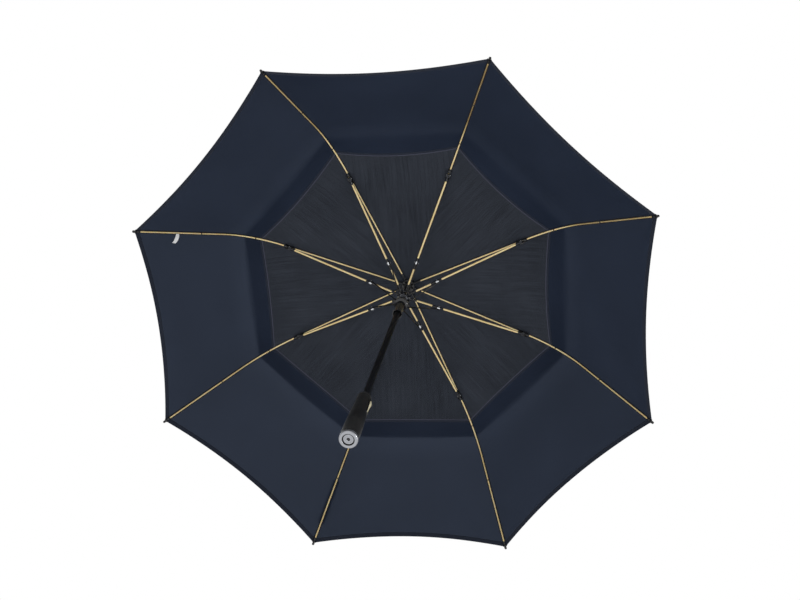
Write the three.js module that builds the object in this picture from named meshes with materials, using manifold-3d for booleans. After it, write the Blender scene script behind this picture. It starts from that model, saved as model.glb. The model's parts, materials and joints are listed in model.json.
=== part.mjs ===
// A vented golf umbrella with two canopies, standing open with its handle down.
// Millimetres. The origin is the centre of the handle's end face, and +Z runs up the shaft.
// Each spoke part is modelled in the XZ plane, with x the distance from the shaft's axis
// and y across the spoke, and is then turned about Z to its place.
import * as THREE from 'three';
import { mergeVertices } from 'three/addons/utils/BufferGeometryUtils.js';
import Module from 'manifold-3d';

const wasm = await Module();
wasm.setup();

// ---------- driving dimensions ----------
const SPOKES = 8;
const STEP = (2 * Math.PI) / SPOKES;
const HALF = STEP / 2;
const GAP = 0.3; // clearance between neighbouring pieces
const rad = THREE.MathUtils.degToRad;

// the folding linkage
const PIVOT_R = 14; // pivot circle of the crown and of both runners
const CROWN_Z = 866; // rib pivots
const ARM = 315; // hub pivot to bracket pivot, the same on rib and stretcher
const ARM_SLOPE = rad(7.94); // how far both arms lean from level when open
const BRACKET = { x: PIVOT_R + ARM * Math.cos(ARM_SLOPE), z: CROWN_Z - ARM * Math.sin(ARM_SLOPE) };
const RUNNER_Z = CROWN_Z - 2 * ARM * Math.sin(ARM_SLOPE); // stretcher pivots
const LINK_Z = RUNNER_Z - 55; // link pivots on the lower runner
const JOINT_S = 80; // runner pivot to link joint, along the stretcher

// ribs and stretchers
const TIP = { x: 650, z: 560 };
const RIB_OVER_PIN = 6.5; // rib axis above the bracket's pin
const BEND_X = 338; // where the rib starts to bend
const TIP_SLOPE = rad(49);
const FLEX_SHARE = 0.45; // where along the bend the rib is taken to flex
const RIB_R = 2.1;
const RIB_END_R = 2.25;
const STRETCHER_R = 2.75;
const EYE_R = 3;
const EYE_T = 3; // thickness of the flattened rod ends
const BLADE = 8; // length of a flattened rod end
const LINK_Y = 4.3; // the link runs beside its stretcher
const LINK_T = 1.6;
const WIRE_R = 0.8;

// shaft
const SHAFT_R = 7;
const SHAFT_BORE = 5.9;
const SHAFT_BOTTOM = 30;
const SHAFT_TOP = 861.5;

// hubs: the crown is fixed on the shaft and the two runners slide on it
const HUB_R = 17.5;
const RUNNER_BORE = SHAFT_R + 0.5;
const COLLAR_R = 10.4;
const SLOT_ROOT = 10.6; // slots in the hubs reach in to this radius
const CROWN = { bottom: 846, floor: 861, top: 869.2, studR: 6, studTop: 879 };
const UPPER = { bottom: 715, top: 800, tubeR: 8.6, floor: RUNNER_Z - 7, flangeTop: RUNNER_Z + 6 };
const LOWER = { bottom: 648, tubeR: 11, tailR: 12, counterbore: 676, flare: 716, rim: 719, top: 731 };
const WASHER = { bottom: 875.5, top: 877, r: 18, bore: CROWN.studR + 0.4 };

// fabric: offsets are measured square to the rib, from its axis
const VENT_X = 400; // edge of the vent opening, measured along a rib
const FLAP_X = 441; // edge of the upper canopy
const HEM_X = 642;
const HEM_INSET = 14;
const VENT_INSET = 10; // the vent's edge curves in between two ribs
const VENT_DROP = 13; // and hangs lower
const SAG = 0.018; // how far the fabric dips between two ribs, as a share of the radius
const HUB_LIFT = 5; // the fabric rises over the crown
const HUB_LIFT_X = 60;
const FABRIC_HOLE = 9;
const FABRIC_T = 0.4;
const UNDER = 3; // the lower canopy's underside
const FLAP_OVER = 1.2; // the upper canopy lies this far over the lower one at the hub
const FLAP_RISE = 3; // and this much further at its edge
const FABRIC_SEGMENTS = SPOKES * 4;
const LABEL_SPOKE = 6;
const STRAP_SPOKE = 4;

// ferrule and handle
const FERRULE_TOP = 955;
const HANDLE_TOP = 172.5;
const GRIP_TOP = 169.4;
const MOUTH_R = 12.3; // the lower runner's tail slips in here when closed
const MOUTH_Z = 125;
const CORE_R = 13.2;
const CAP_R = 17.5;
const CAP_H = 8;
const BUTTON_AZIMUTH = STEP * 1.5;
const CATCH_Z = 148; // height of the catch that the button presses

// ---------- solids ----------
/** A closed geometry with shared vertices, from any three.js geometry. */
function welded(geometry) {
  const plain = geometry.clone();
  plain.deleteAttribute('normal');
  plain.deleteAttribute('uv');
  return mergeVertices(plain, 1e-4);
}

function toSolid(geometry) {
  const mesh = welded(geometry);
  return new wasm.Manifold(new wasm.Mesh({
    numProp: 3,
    vertProperties: new Float32Array(mesh.attributes.position.array),
    triVerts: new Uint32Array(mesh.index.array),
  }));
}

function toGeometry(solid) {
  const { vertProperties, triVerts } = solid.getMesh();
  const geometry = new THREE.BufferGeometry();
  geometry.setAttribute('position', new THREE.BufferAttribute(new Float32Array(vertProperties), 3));
  geometry.setIndex(new THREE.BufferAttribute(new Uint32Array(triVerts), 1));
  return geometry;
}

function join(first, ...others) {
  return toGeometry(others.reduce((solid, other) => solid.add(toSolid(other)), toSolid(first)));
}

function cut(first, ...tools) {
  return toGeometry(tools.reduce((solid, tool) => solid.subtract(toSolid(tool)), toSolid(first)));
}

/** A box given by its lowest and highest corners. */
function block(x0, x1, y0, y1, z0, z1) {
  return new THREE.BoxGeometry(x1 - x0, y1 - y0, z1 - z0)
    .translate((x0 + x1) / 2, (y0 + y1) / 2, (z0 + z1) / 2);
}

/** A profile of [radius, height] pairs turned about Z. */
function turned(profile, segments = 20) {
  const points = profile.map(([r, z]) => new THREE.Vector2(r, z));
  return new THREE.LatheGeometry(points, segments).rotateX(Math.PI / 2);
}

/** A ring-shaped profile, closed on itself. */
function ring(profile, segments = 20) {
  return turned([...profile, profile[0]], segments);
}

/** A disc across the spoke, such as the eye of a rod. */
function disc(x, z, radius, thickness, y = 0, sides = 8) {
  return new THREE.CylinderGeometry(radius, radius, thickness, sides).translate(x, y, z);
}

/** A round rod along a curve. */
function rod(path, radius, steps = 1, sides = 6) {
  const section = new THREE.Shape();
  for (let i = 0; i < sides; i += 1) {
    const angle = (i + 0.5) * (2 * Math.PI / sides);
    const corner = [radius * Math.cos(angle), radius * Math.sin(angle)];
    if (i === 0) section.moveTo(...corner);
    else section.lineTo(...corner);
  }
  section.closePath();
  return new THREE.ExtrudeGeometry(section, { steps, extrudePath: path });
}

/** A point in the spoke's plane, a distance along a line that rises by slope. */
function along(x, z, slope, distance) {
  return new THREE.Vector3(x + distance * Math.cos(slope), 0, z + distance * Math.sin(slope));
}

// ---------- the rib's centre line ----------
const RIB_SLOPE = Math.atan2(CROWN_Z - BRACKET.z - RIB_OVER_PIN, BRACKET.x - PIVOT_R);
const BEND = solveBend();

/** The arc and the straight end that take the rib from BEND_X to its tip, turning to TIP_SLOPE. */
function solveBend() {
  const z = CROWN_Z - (BEND_X - PIVOT_R) * Math.tan(RIB_SLOPE);
  const across = Math.sin(TIP_SLOPE) - Math.sin(RIB_SLOPE);
  const down = Math.cos(RIB_SLOPE) - Math.cos(TIP_SLOPE);
  const dx = TIP.x - BEND_X;
  const dz = z - TIP.z;
  const radius = (dx * Math.sin(TIP_SLOPE) - dz * Math.cos(TIP_SLOPE))
    / (across * Math.sin(TIP_SLOPE) - down * Math.cos(TIP_SLOPE));
  return { z, radius, endX: BEND_X + radius * across, endZ: z - radius * down };
}

/** Height and downward slope of the rib's axis at a distance x from the shaft. */
function ribAt(x) {
  if (x <= BEND_X) return { z: CROWN_Z - (x - PIVOT_R) * Math.tan(RIB_SLOPE), slope: RIB_SLOPE };
  if (x >= BEND.endX) return { z: BEND.endZ - (x - BEND.endX) * Math.tan(TIP_SLOPE), slope: TIP_SLOPE };
  const slope = Math.asin(Math.sin(RIB_SLOPE) + (x - BEND_X) / BEND.radius);
  return { z: BEND.z - BEND.radius * (Math.cos(RIB_SLOPE) - Math.cos(slope)), slope };
}

/** The rib's axis through the given stations, which are distances from the shaft. */
class RibStretch extends THREE.Curve {
  constructor(stations) {
    super();
    this.stations = stations;
    this.steps = stations.length - 1;
  }

  getPoint(t, target = new THREE.Vector3()) {
    const place = Math.min(t * this.steps, this.steps - 1e-6);
    const i = Math.floor(place);
    const x = THREE.MathUtils.lerp(this.stations[i], this.stations[i + 1], place - i);
    return target.set(x, 0, ribAt(x).z);
  }

  getUtoTmapping(u) {
    return u; // one step per station
  }
}

/** Evenly spaced numbers from a to b. */
function spaced(a, b, steps) {
  return Array.from({ length: steps + 1 }, (_, i) => a + ((b - a) * i) / steps);
}

function ribRod(stations, radius, sides = 6) {
  const path = new RibStretch(stations);
  return rod(path, radius, path.steps, sides);
}

const FLEX_X = BEND_X + (BEND.endX - BEND_X) * FLEX_SHARE;

// ---------- spoke parts ----------
function ribInner() {
  const blade = block(0, BLADE, -EYE_T / 2, EYE_T / 2, -RIB_R, RIB_R)
    .rotateY(RIB_SLOPE).translate(PIVOT_R, 0, CROWN_Z);
  const shank = ribRod([PIVOT_R + BLADE - 1, BEND_X, ...spaced(BEND_X, FLEX_X - 1, 3).slice(1)], RIB_R);
  const body = join(shank, blade, disc(PIVOT_R, CROWN_Z, EYE_R, EYE_T));
  return cut(body, disc(PIVOT_R, CROWN_Z, WIRE_R + 0.5, EYE_T + 2));
}

/** A saddle that clips under the rib, slotted so that the stretcher can swing from one end to the other. */
function ribBracket() {
  const width = 9;
  const { z } = ribAt(BRACKET.x);
  const outline = new THREE.Shape([
    new THREE.Vector2(-14, 1.6), new THREE.Vector2(-14, -2), new THREE.Vector2(-5, -10),
    new THREE.Vector2(4, -10.5), new THREE.Vector2(13, -4), new THREE.Vector2(13, 1.6),
  ]);
  const inPlace = (geometry) => geometry.rotateY(RIB_SLOPE).translate(BRACKET.x, 0, z);
  const saddle = new THREE.ExtrudeGeometry(outline, { depth: width, bevelEnabled: false })
    .rotateX(Math.PI / 2).translate(0, width / 2, 0);
  const slotY = EYE_T / 2 + 0.4;
  const innerSlot = block(-20, EYE_R + 1, -slotY, slotY, -20, -1);
  const outerSlot = block(0, 20, -slotY, slotY, -20, -4.7);
  const groove = ribRod([BRACKET.x - 20, BEND_X, BEND_X + 10], RIB_R + 2 * GAP);
  return cut(inPlace(saddle), groove, inPlace(innerSlot), inPlace(outerSlot));
}

/** The flexing end of the rib, with the small cap that holds the fabric's corner. */
function ribOuter() {
  const capLength = 9;
  const stations = [...spaced(FLEX_X + 1, BEND.endX, 4), TIP.x - 4];
  const cap = new THREE.CylinderGeometry(2.6, 3.2, capLength, 8)
    .translate(0, -capLength / 2, 0).rotateZ(Math.PI / 2)
    .rotateY(TIP_SLOPE + Math.PI).translate(TIP.x, 0, TIP.z);
  return join(ribRod(stations, RIB_END_R), cap);
}

/** An inner and an outer rod in a joint block, with a flattened eye at each end. */
function stretcher() {
  const length = ARM;
  const piece = (s0, s1, y, h) => block(s0, s1, -y, y, -h, h);
  const straight = (s0, s1) => rod(
    new THREE.LineCurve3(new THREE.Vector3(s0, 0, 0), new THREE.Vector3(s1, 0, 0)), STRETCHER_R);
  return join(
    disc(0, 0, EYE_R, EYE_T), piece(0, BLADE + 1, EYE_T / 2, 2.2),
    straight(BLADE, length - 2 * BLADE),
    piece(JOINT_S - 18, JOINT_S + 13, 3.2, 4.5),
    piece(length - 2 * BLADE - 1, length, EYE_T / 2, 2.2), disc(length, 0, EYE_R, EYE_T),
  ).rotateY(-ARM_SLOPE).translate(PIVOT_R, 0, RUNNER_Z);
}

/** The flat bar from the stretcher's joint down to the lower runner. */
function link() {
  const joint = along(PIVOT_R, RUNNER_Z, ARM_SLOPE, JOINT_S);
  const dx = joint.x - PIVOT_R;
  const dz = joint.z - LINK_Z;
  const length = Math.hypot(dx, dz);
  const bar = block(0, length, LINK_Y - LINK_T / 2, LINK_Y + LINK_T / 2, -2, 2)
    .rotateY(-Math.atan2(dz, dx)).translate(PIVOT_R, 0, LINK_Z);
  return join(bar, disc(PIVOT_R, LINK_Z, EYE_R, LINK_T, LINK_Y), disc(joint.x, joint.z, 4, LINK_T, LINK_Y));
}

// ---------- hubs on the shaft ----------
/** The same radial slot at every spoke, from y0 to y1 across the spoke. */
function slots(y0, y1, z0, z1) {
  return Array.from({ length: SPOKES }, (_, k) => (
    block(SLOT_ROOT, HUB_R + 3, y0, y1, z0, z1).rotateZ(k * STEP)));
}

function crown() {
  const body = turned([
    [0, SHAFT_TOP + GAP], [SHAFT_R + GAP, SHAFT_TOP + GAP], [SHAFT_R + GAP, CROWN.bottom],
    [COLLAR_R, CROWN.bottom], [COLLAR_R, CROWN.floor], [HUB_R, CROWN.floor], [HUB_R, CROWN.top - 1],
    [HUB_R - 1, CROWN.top], [CROWN.studR, CROWN.top], [CROWN.studR, CROWN.studTop], [0, CROWN.studTop],
  ]);
  const wireTunnel = new THREE.TorusGeometry(PIVOT_R, WIRE_R + 0.45, 5, 24).translate(0, 0, CROWN_Z);
  return cut(body, ...slots(-2.5, 2.5, CROWN.floor - 6, CROWN.top + 1), wireTunnel);
}

function crownWire() {
  return new THREE.TorusGeometry(PIVOT_R, WIRE_R, 5, 24).translate(0, 0, CROWN_Z);
}

function upperRunner() {
  const body = ring([
    [RUNNER_BORE, UPPER.bottom], [UPPER.tubeR, UPPER.bottom], [UPPER.tubeR, UPPER.floor],
    [HUB_R, UPPER.floor], [HUB_R, UPPER.flangeTop - 1], [HUB_R - 1, UPPER.flangeTop],
    [COLLAR_R, UPPER.flangeTop], [COLLAR_R, UPPER.top], [RUNNER_BORE, UPPER.top],
  ]);
  return cut(body, ...slots(-1.9, LINK_Y + 1.2, UPPER.floor - 1, UPPER.flangeTop + 1));
}

/** A tube with a rim at its tail and a flared rim round the link pivots. */
function lowerRunner() {
  const sleeveR = UPPER.tubeR + 0.4;
  const body = ring([
    [RUNNER_BORE, LOWER.bottom], [LOWER.tailR - 0.6, LOWER.bottom], [LOWER.tailR, LOWER.bottom + 0.6],
    [LOWER.tailR, LOWER.bottom + 4], [LOWER.tubeR, LOWER.bottom + 5], [LOWER.tubeR, LOWER.flare],
    [HUB_R - 1, LOWER.flare + 1], [HUB_R, LOWER.rim], [HUB_R - 1.3, LOWER.top], [sleeveR, LOWER.top],
    [sleeveR, LOWER.counterbore], [RUNNER_BORE, LOWER.counterbore],
  ]);
  const catchNotch = block(0, 20, -2.6, 2.6, LOWER.bottom - 8, LOWER.bottom + 14).rotateZ(BUTTON_AZIMUTH);
  const boreZone = turned([
    [0, LOWER.bottom - 8], [RUNNER_BORE, LOWER.bottom - 8],
    [RUNNER_BORE, LOWER.bottom + 22], [0, LOWER.bottom + 22],
  ]);
  const linkSlots = slots(LINK_Y - 1.2, LINK_Y + 1.2, LINK_Z - 4, LOWER.top + 9);
  return cut(body, ...linkSlots, cut(catchNotch, boreZone));
}

class Helix extends THREE.Curve {
  constructor(radius, z0, z1, turns) {
    super();
    Object.assign(this, { radius, z0, z1, turns });
  }

  getPoint(t, target = new THREE.Vector3()) {
    const angle = 2 * Math.PI * this.turns * t;
    return target.set(this.radius * Math.cos(angle), this.radius * Math.sin(angle),
      THREE.MathUtils.lerp(this.z0, this.z1, t));
  }
}

/** The drive spring that pushes the two runners apart. */
function openingSpring() {
  const wire = 0.7;
  const turns = 6;
  const path = new Helix(9.9, LOWER.top + wire + GAP, UPPER.floor - wire - GAP, turns);
  return rod(path, wire, turns * 12, 5);
}

// ---------- shaft, top and handle ----------
function shaft() {
  const tube = ring([
    [SHAFT_BORE, SHAFT_BOTTOM], [SHAFT_R, SHAFT_BOTTOM], [SHAFT_R, SHAFT_TOP], [SHAFT_BORE, SHAFT_TOP],
  ]);
  const catchSlot = block(0, 10, -2.1, 2.1, CATCH_Z - 4, CATCH_Z + 4).rotateZ(BUTTON_AZIMUTH);
  return cut(tube, catchSlot);
}

function canopyWasher() {
  const { bottom, top, r, bore } = WASHER;
  return ring([[bore, bottom], [r, bottom], [r, top - 0.7], [r - 1, top], [bore, top]]);
}

function ferrule() {
  const seat = WASHER.top + 0.4;
  return turned([
    [0, CROWN.studTop + 2], [WASHER.bore, CROWN.studTop + 2], [WASHER.bore, seat], [10.5, seat],
    [10.5, seat + 6.6], [8, seat + 10.6], [6, seat + 27.6], [4.8, FERRULE_TOP - 7],
    [4.4, FERRULE_TOP - 1], [3.6, FERRULE_TOP], [0, FERRULE_TOP],
  ], 16);
}

/** Where the button passes through the handle's side. */
function buttonOpening(halfWidth, z0, z1, fromR) {
  return block(fromR, 24, -halfWidth, halfWidth, z0, z1).rotateZ(BUTTON_AZIMUTH);
}

function handleCore() {
  const body = turned([
    [0, CAP_H + GAP], [CORE_R, CAP_H + GAP], [CORE_R, GRIP_TOP + 0.4], [14.6, GRIP_TOP + 0.4],
    [14.6, HANDLE_TOP - 0.6], [14, HANDLE_TOP], [MOUTH_R, HANDLE_TOP], [MOUTH_R, MOUTH_Z],
    [SHAFT_R + GAP, MOUTH_Z], [SHAFT_R + GAP, SHAFT_BOTTOM - 0.5], [0, SHAFT_BOTTOM - 0.5],
  ]);
  const bezel = block(MOUTH_R + 0.4, 16.4, -7, 7, 104.5, 160.5).rotateZ(BUTTON_AZIMUTH);
  return cut(join(body, bezel), buttonOpening(5.3, 107, 158, MOUTH_R - 0.6));
}

function gripSleeve() {
  const outer = new THREE.SplineCurve([
    new THREE.Vector2(CAP_R - 0.3, CAP_H + GAP), new THREE.Vector2(17.9, 42), new THREE.Vector2(16.8, 88),
    new THREE.Vector2(15.1, 130), new THREE.Vector2(14.4, GRIP_TOP),
  ]);
  const profile = outer.getPoints(8).map(({ x, y }) => [x, y]);
  const body = ring([[CORE_R + GAP, CAP_H + GAP], ...profile, [CORE_R + GAP, GRIP_TOP]]);
  return cut(body, buttonOpening(7.4, 104, 161, CORE_R - 1));
}

function endCap() {
  const recess = 3.5;
  return turned([
    [0, recess], [11.4, recess], [11.4, 0], [CAP_R - 0.8, 0], [CAP_R, 0.8], [CAP_R, CAP_H], [0, CAP_H],
  ]);
}

function capDisc() {
  return ring([
    [2.9, 0.4], [5.8, 0.4], [6.2, 0.9], [6.8, 0.9], [7.2, 0.4],
    [10, 0.4], [10.5, 0.9], [10.5, 3.2], [2.9, 3.2],
  ]);
}

/** A wedge that stands proudest at its upper end, with a pusher behind it. */
function pushButton() {
  const width = 9.4;
  const outline = new THREE.Shape([
    new THREE.Vector2(15, 109), new THREE.Vector2(15.9, 108), new THREE.Vector2(18.4, 150),
    new THREE.Vector2(17.9, 155), new THREE.Vector2(16.6, 157), new THREE.Vector2(15, 157),
  ]);
  const face = new THREE.ExtrudeGeometry(outline, { depth: width, bevelEnabled: false })
    .rotateX(Math.PI / 2).translate(0, width / 2, 0);
  const pusher = new THREE.CylinderGeometry(1.6, 1.6, 6.2, 8)
    .rotateZ(Math.PI / 2).translate(12.9, 0, CATCH_Z);
  return join(face, pusher).rotateZ(BUTTON_AZIMUTH);
}

/** The leaf in the shaft, whose nose holds the lower runner down when the umbrella is closed. */
function catchSpring() {
  const leaf = block(3.4, 4.3, -1.8, 1.8, 96, CATCH_Z + 3);
  const nose = block(4, 9.3, -1.5, 1.5, CATCH_Z - 2, CATCH_Z + 2);
  return join(leaf, nose).rotateZ(BUTTON_AZIMUTH);
}

// ---------- fabric ----------
/** How far round from the nearest rib, as an angle and as a share of the way to mid-panel. */
function fromRib(azimuth) {
  const turns = azimuth / STEP;
  const angle = Math.abs(turns - Math.round(turns)) * STEP;
  return { angle, share: 1 - Math.tan(HALF - angle) / Math.tan(HALF) };
}

/** How far the mesh and the lower canopy curve in and hang down halfway between two ribs. */
function loose(x) {
  const toHem = Math.max(0, (x - VENT_X) / (HEM_X - VENT_X));
  const vent = x < VENT_X ? (x / VENT_X) ** 2 : (1 - toHem) ** 2;
  return { inward: VENT_INSET * vent + HEM_INSET * toHem, down: VENT_DROP * vent };
}

/** The upper canopy does neither. */
function taut() {
  return { inward: 0, down: 0 };
}

/** A point of the cloth, drawn at a distance from the shaft and then offset from the ribs' axes. */
function clothPoint(drawn, azimuth, offset, slack) {
  const { angle, share } = fromRib(azimuth);
  const bow = share * (2 - share);
  const { inward, down } = slack(drawn);
  const x = drawn - inward * bow;
  const { z, slope } = ribAt(x);
  const lift = HUB_LIFT * Math.max(0, 1 - x / HUB_LIFT_X) ** 2;
  const radius = (x * Math.cos(HALF)) / Math.cos(HALF - angle);
  const height = z + lift + offset / Math.cos(slope) - (SAG * x + down) * bow;
  return [radius * Math.cos(azimuth), radius * Math.sin(azimuth), height];
}

/**
 * A thin ring of cloth through the given stations, with its underside at under(x) from the ribs' axes.
 * Both faces are cut into the same triangles, so they stay apart where the cloth twists.
 */
function fabric(stations, under, slack) {
  const last = stations.length - 1;
  const azimuths = spaced(0, 2 * Math.PI, FABRIC_SEGMENTS).slice(0, -1);
  const points = [0, FABRIC_T].flatMap((above) => stations.flatMap((x) => (
    azimuths.flatMap((azimuth) => clothPoint(x, azimuth, under(x) + above, slack)))));
  const at = (face, i, j) => (face * stations.length + i) * FABRIC_SEGMENTS + (j % FABRIC_SEGMENTS);
  const triangles = [];
  const quad = (a, b, c, d) => triangles.push(a, b, c, a, c, d);
  for (let j = 0; j < FABRIC_SEGMENTS; j += 1) {
    for (let i = 0; i < last; i += 1) {
      quad(at(0, i, j), at(0, i, j + 1), at(0, i + 1, j + 1), at(0, i + 1, j));
      quad(at(1, i, j), at(1, i + 1, j), at(1, i + 1, j + 1), at(1, i, j + 1));
    }
    quad(at(0, 0, j), at(1, 0, j), at(1, 0, j + 1), at(0, 0, j + 1));
    quad(at(0, last, j + 1), at(1, last, j + 1), at(1, last, j), at(0, last, j));
  }
  return new THREE.BufferGeometry()
    .setAttribute('position', new THREE.Float32BufferAttribute(points, 3))
    .setIndex(triangles);
}

const HUB_STATIONS = [FABRIC_HOLE, 20, 38, HUB_LIFT_X, BEND_X, 370];

function ventMesh() {
  return fabric([...HUB_STATIONS, VENT_X], () => UNDER, loose);
}

function lowerCanopy() {
  const stations = [...spaced(VENT_X + 0.4, BEND.endX, 4), ...spaced(BEND.endX, HEM_X, 3).slice(1)];
  return fabric(stations, () => UNDER, loose);
}

function upperCanopy() {
  const under = (x) => UNDER + FLAP_OVER + FLAP_RISE * (x / FLAP_X) ** 2;
  return fabric([...HUB_STATIONS, VENT_X, (VENT_X + FLAP_X) / 2, FLAP_X], under, taut);
}

/** A thin tab beside the straight end of a rib, from x0 to x1, tilted about the rib's axis. */
function tab(x0, x1, y0, y1, offset, thickness, tilt = 0) {
  const length = (x1 - x0) / Math.cos(TIP_SLOPE);
  return block(0, length, y0, y1, offset, offset + thickness)
    .rotateX(tilt).rotateY(TIP_SLOPE).translate(x0, 0, ribAt(x0).z);
}

/** The label hangs from the rib's seam, close under one panel. */
function careLabel() {
  return tab(568, 584, -24, -1, -4.6, 0.8, rad(20));
}

function closingStrap() {
  return tab(530, 612, -9, 9, 5, 1.2);
}

// ---------- assembly ----------
const FABRIC = { color: 0x232a38, roughness: 0.9, metalness: 0 };
const MESH = { color: 0x2b2e34, roughness: 0.95, metalness: 0 };
const ROD = { color: 0xcfa957, roughness: 0.35, metalness: 0 };
const PLASTIC = { color: 0x111214, roughness: 0.5, metalness: 0 };
const SHAFT_FINISH = { color: 0x15161a, roughness: 0.4, metalness: 0.1 };
const RUBBER = { color: 0x1d1c1b, roughness: 0.7, metalness: 0 };
const SILVER = { color: 0xb4b5b8, roughness: 0.3, metalness: 0.9 };
const BUTTON = { color: 0xe2d3a4, roughness: 0.35, metalness: 0 };
const LABEL = { color: 0xe9e9e6, roughness: 0.85, metalness: 0 };
const STEEL = { color: 0x55575b, roughness: 0.4, metalness: 0.9 };

const umbrella = new THREE.Group();

function add(name, geometry, finish, parent = umbrella) {
  const mesh = new THREE.Mesh(geometry, new THREE.MeshStandardMaterial(finish));
  mesh.name = name;
  parent.add(mesh);
}

const SPOKE_PARTS = [
  ['rib_inner', ribInner(), ROD],
  ['rib_bracket', ribBracket(), PLASTIC],
  ['rib_outer', ribOuter(), ROD],
  ['stretcher', stretcher(), ROD],
  ['link', link(), PLASTIC],
];

for (let k = 0; k < SPOKES; k += 1) {
  const spoke = new THREE.Group();
  spoke.rotation.z = k * STEP;
  umbrella.add(spoke);
  for (const [name, geometry, finish] of SPOKE_PARTS) add(`${name}_${k + 1}`, geometry, finish, spoke);
  if (k === LABEL_SPOKE) add('care_label', careLabel(), LABEL, spoke);
  if (k === STRAP_SPOKE) add('closing_strap', closingStrap(), FABRIC, spoke);
}

add('shaft', shaft(), SHAFT_FINISH);
add('crown', crown(), PLASTIC);
add('crown_wire', crownWire(), STEEL);
add('canopy_washer', canopyWasher(), PLASTIC);
add('ferrule', ferrule(), PLASTIC);
add('upper_canopy', upperCanopy(), FABRIC);
add('lower_canopy', lowerCanopy(), FABRIC);
add('vent_mesh', ventMesh(), MESH);
add('upper_runner', upperRunner(), PLASTIC);
add('lower_runner', lowerRunner(), PLASTIC);
add('opening_spring', openingSpring(), STEEL);
add('handle_core', handleCore(), PLASTIC);
add('grip_sleeve', gripSleeve(), RUBBER);
add('end_cap', endCap(), SILVER);
add('cap_disc', capDisc(), SILVER);
add('push_button', pushButton(), BUTTON);
add('catch_spring', catchSpring(), STEEL);

export default umbrella;
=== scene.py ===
"""Looks for a vented golf umbrella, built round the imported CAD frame.

Lengths are in millimetres until a mesh is made, which is in metres. The origin is the centre of the
handle's end face and +Z runs up the shaft. Spoke parts are drawn in the XZ plane, with x the distance
from the shaft and y across the spoke, and are then turned about Z to their rib.
"""

import json
import math

import bmesh
import bpy
import numpy as np
from mathutils import Matrix, Vector


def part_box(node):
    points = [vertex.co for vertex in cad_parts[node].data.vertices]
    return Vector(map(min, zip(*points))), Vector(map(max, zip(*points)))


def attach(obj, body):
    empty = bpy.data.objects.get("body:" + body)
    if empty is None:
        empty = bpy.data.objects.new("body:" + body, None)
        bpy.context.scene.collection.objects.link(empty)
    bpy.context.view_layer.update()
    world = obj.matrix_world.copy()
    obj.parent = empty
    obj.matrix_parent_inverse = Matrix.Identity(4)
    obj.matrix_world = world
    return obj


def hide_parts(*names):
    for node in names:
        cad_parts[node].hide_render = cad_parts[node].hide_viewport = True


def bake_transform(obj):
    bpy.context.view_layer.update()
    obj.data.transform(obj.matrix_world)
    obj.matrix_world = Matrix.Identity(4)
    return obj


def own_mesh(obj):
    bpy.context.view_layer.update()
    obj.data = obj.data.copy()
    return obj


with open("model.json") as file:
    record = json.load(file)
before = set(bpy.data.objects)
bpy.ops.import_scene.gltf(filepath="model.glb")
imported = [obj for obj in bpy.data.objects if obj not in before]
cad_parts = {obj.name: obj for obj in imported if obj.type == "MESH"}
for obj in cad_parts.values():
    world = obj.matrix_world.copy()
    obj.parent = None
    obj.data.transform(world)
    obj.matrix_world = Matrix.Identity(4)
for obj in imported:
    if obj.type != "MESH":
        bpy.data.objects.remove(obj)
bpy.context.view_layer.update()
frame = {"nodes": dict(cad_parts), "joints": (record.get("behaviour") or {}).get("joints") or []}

MM = 0.001
SPOKES = 8
STEP = 2 * math.pi / SPOKES
HALF = STEP / 2
JOINTS = {j["name"]: j for j in frame["joints"]}


# ---------- places read from the frame ----------
def pivot(joint):
    """A hinge's place on spoke 1, as its distance from the shaft and its height."""
    x, y, z = JOINTS[joint]["pos_m"]
    return math.hypot(x, y) / MM, z / MM


def span(node):
    """Lowest and highest corners of a CAD node."""
    low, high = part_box(node)
    return low / MM, high / MM


CROWN_PIVOT = pivot("fold")
BRACKET_PIN = pivot("stretcher_1_hinge")
FLEX = pivot("rib_1_flex")
RUNNER_PIVOT = pivot("upper_runner_hinge")
LINK_JOINT = pivot("link_1_hinge")
LINK_FOOT = (RUNNER_PIVOT[0], RUNNER_PIVOT[1] - 55)
SHAFT_TOP = span("shaft")[1].z
PRESS = Vector(JOINTS["button_press"]["axis"])
BUTTON_AZIMUTH = math.atan2(-PRESS.y, -PRESS.x)
GLOW = Vector((-0.36, 0, -0.93))

# ---------- driving dimensions, as in the CAD ----------
RIB_OVER_PIN = 6.5
BEND_X = 338
TIP = (650, 560)
TIP_SLOPE = math.radians(49)
RIB_R = 2.1
RIB_END_R = 2.25
STRETCHER_R = 2.75
LINK_Y = 4.3
VENT_X = 400
FLAP_X = 441
HEM_X = 647
HEM_INSET = 19
VENT_INSET = 10
VENT_DROP = 13
SAG = 0.018
HUB_LIFT = 5
HUB_LIFT_X = 60
FABRIC_HOLE = 9
UNDER = 3
FABRIC_T = 0.4
FLAP_OVER = 1.2
FLAP_RISE = 3
TIE_STATIONS = (413, 527)
STRAP_SPOKE = 4
LABEL_SPOKE = 6


# ---------- the rib's centre line ----------
RIB_SLOPE = math.atan2(CROWN_PIVOT[1] - BRACKET_PIN[1] - RIB_OVER_PIN, BRACKET_PIN[0] - CROWN_PIVOT[0])


def solve_bend():
    """Radius, end and end height of the arc that turns the rib from RIB_SLOPE to TIP_SLOPE."""
    z = CROWN_PIVOT[1] - (BEND_X - CROWN_PIVOT[0]) * math.tan(RIB_SLOPE)
    across = math.sin(TIP_SLOPE) - math.sin(RIB_SLOPE)
    down = math.cos(RIB_SLOPE) - math.cos(TIP_SLOPE)
    dx, dz = TIP[0] - BEND_X, z - TIP[1]
    radius = (dx * math.sin(TIP_SLOPE) - dz * math.cos(TIP_SLOPE)) / (
        across * math.sin(TIP_SLOPE) - down * math.cos(TIP_SLOPE))
    return z, radius, BEND_X + radius * across, z - radius * down


BEND_Z, BEND_R, BEND_END_X, BEND_END_Z = solve_bend()


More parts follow.
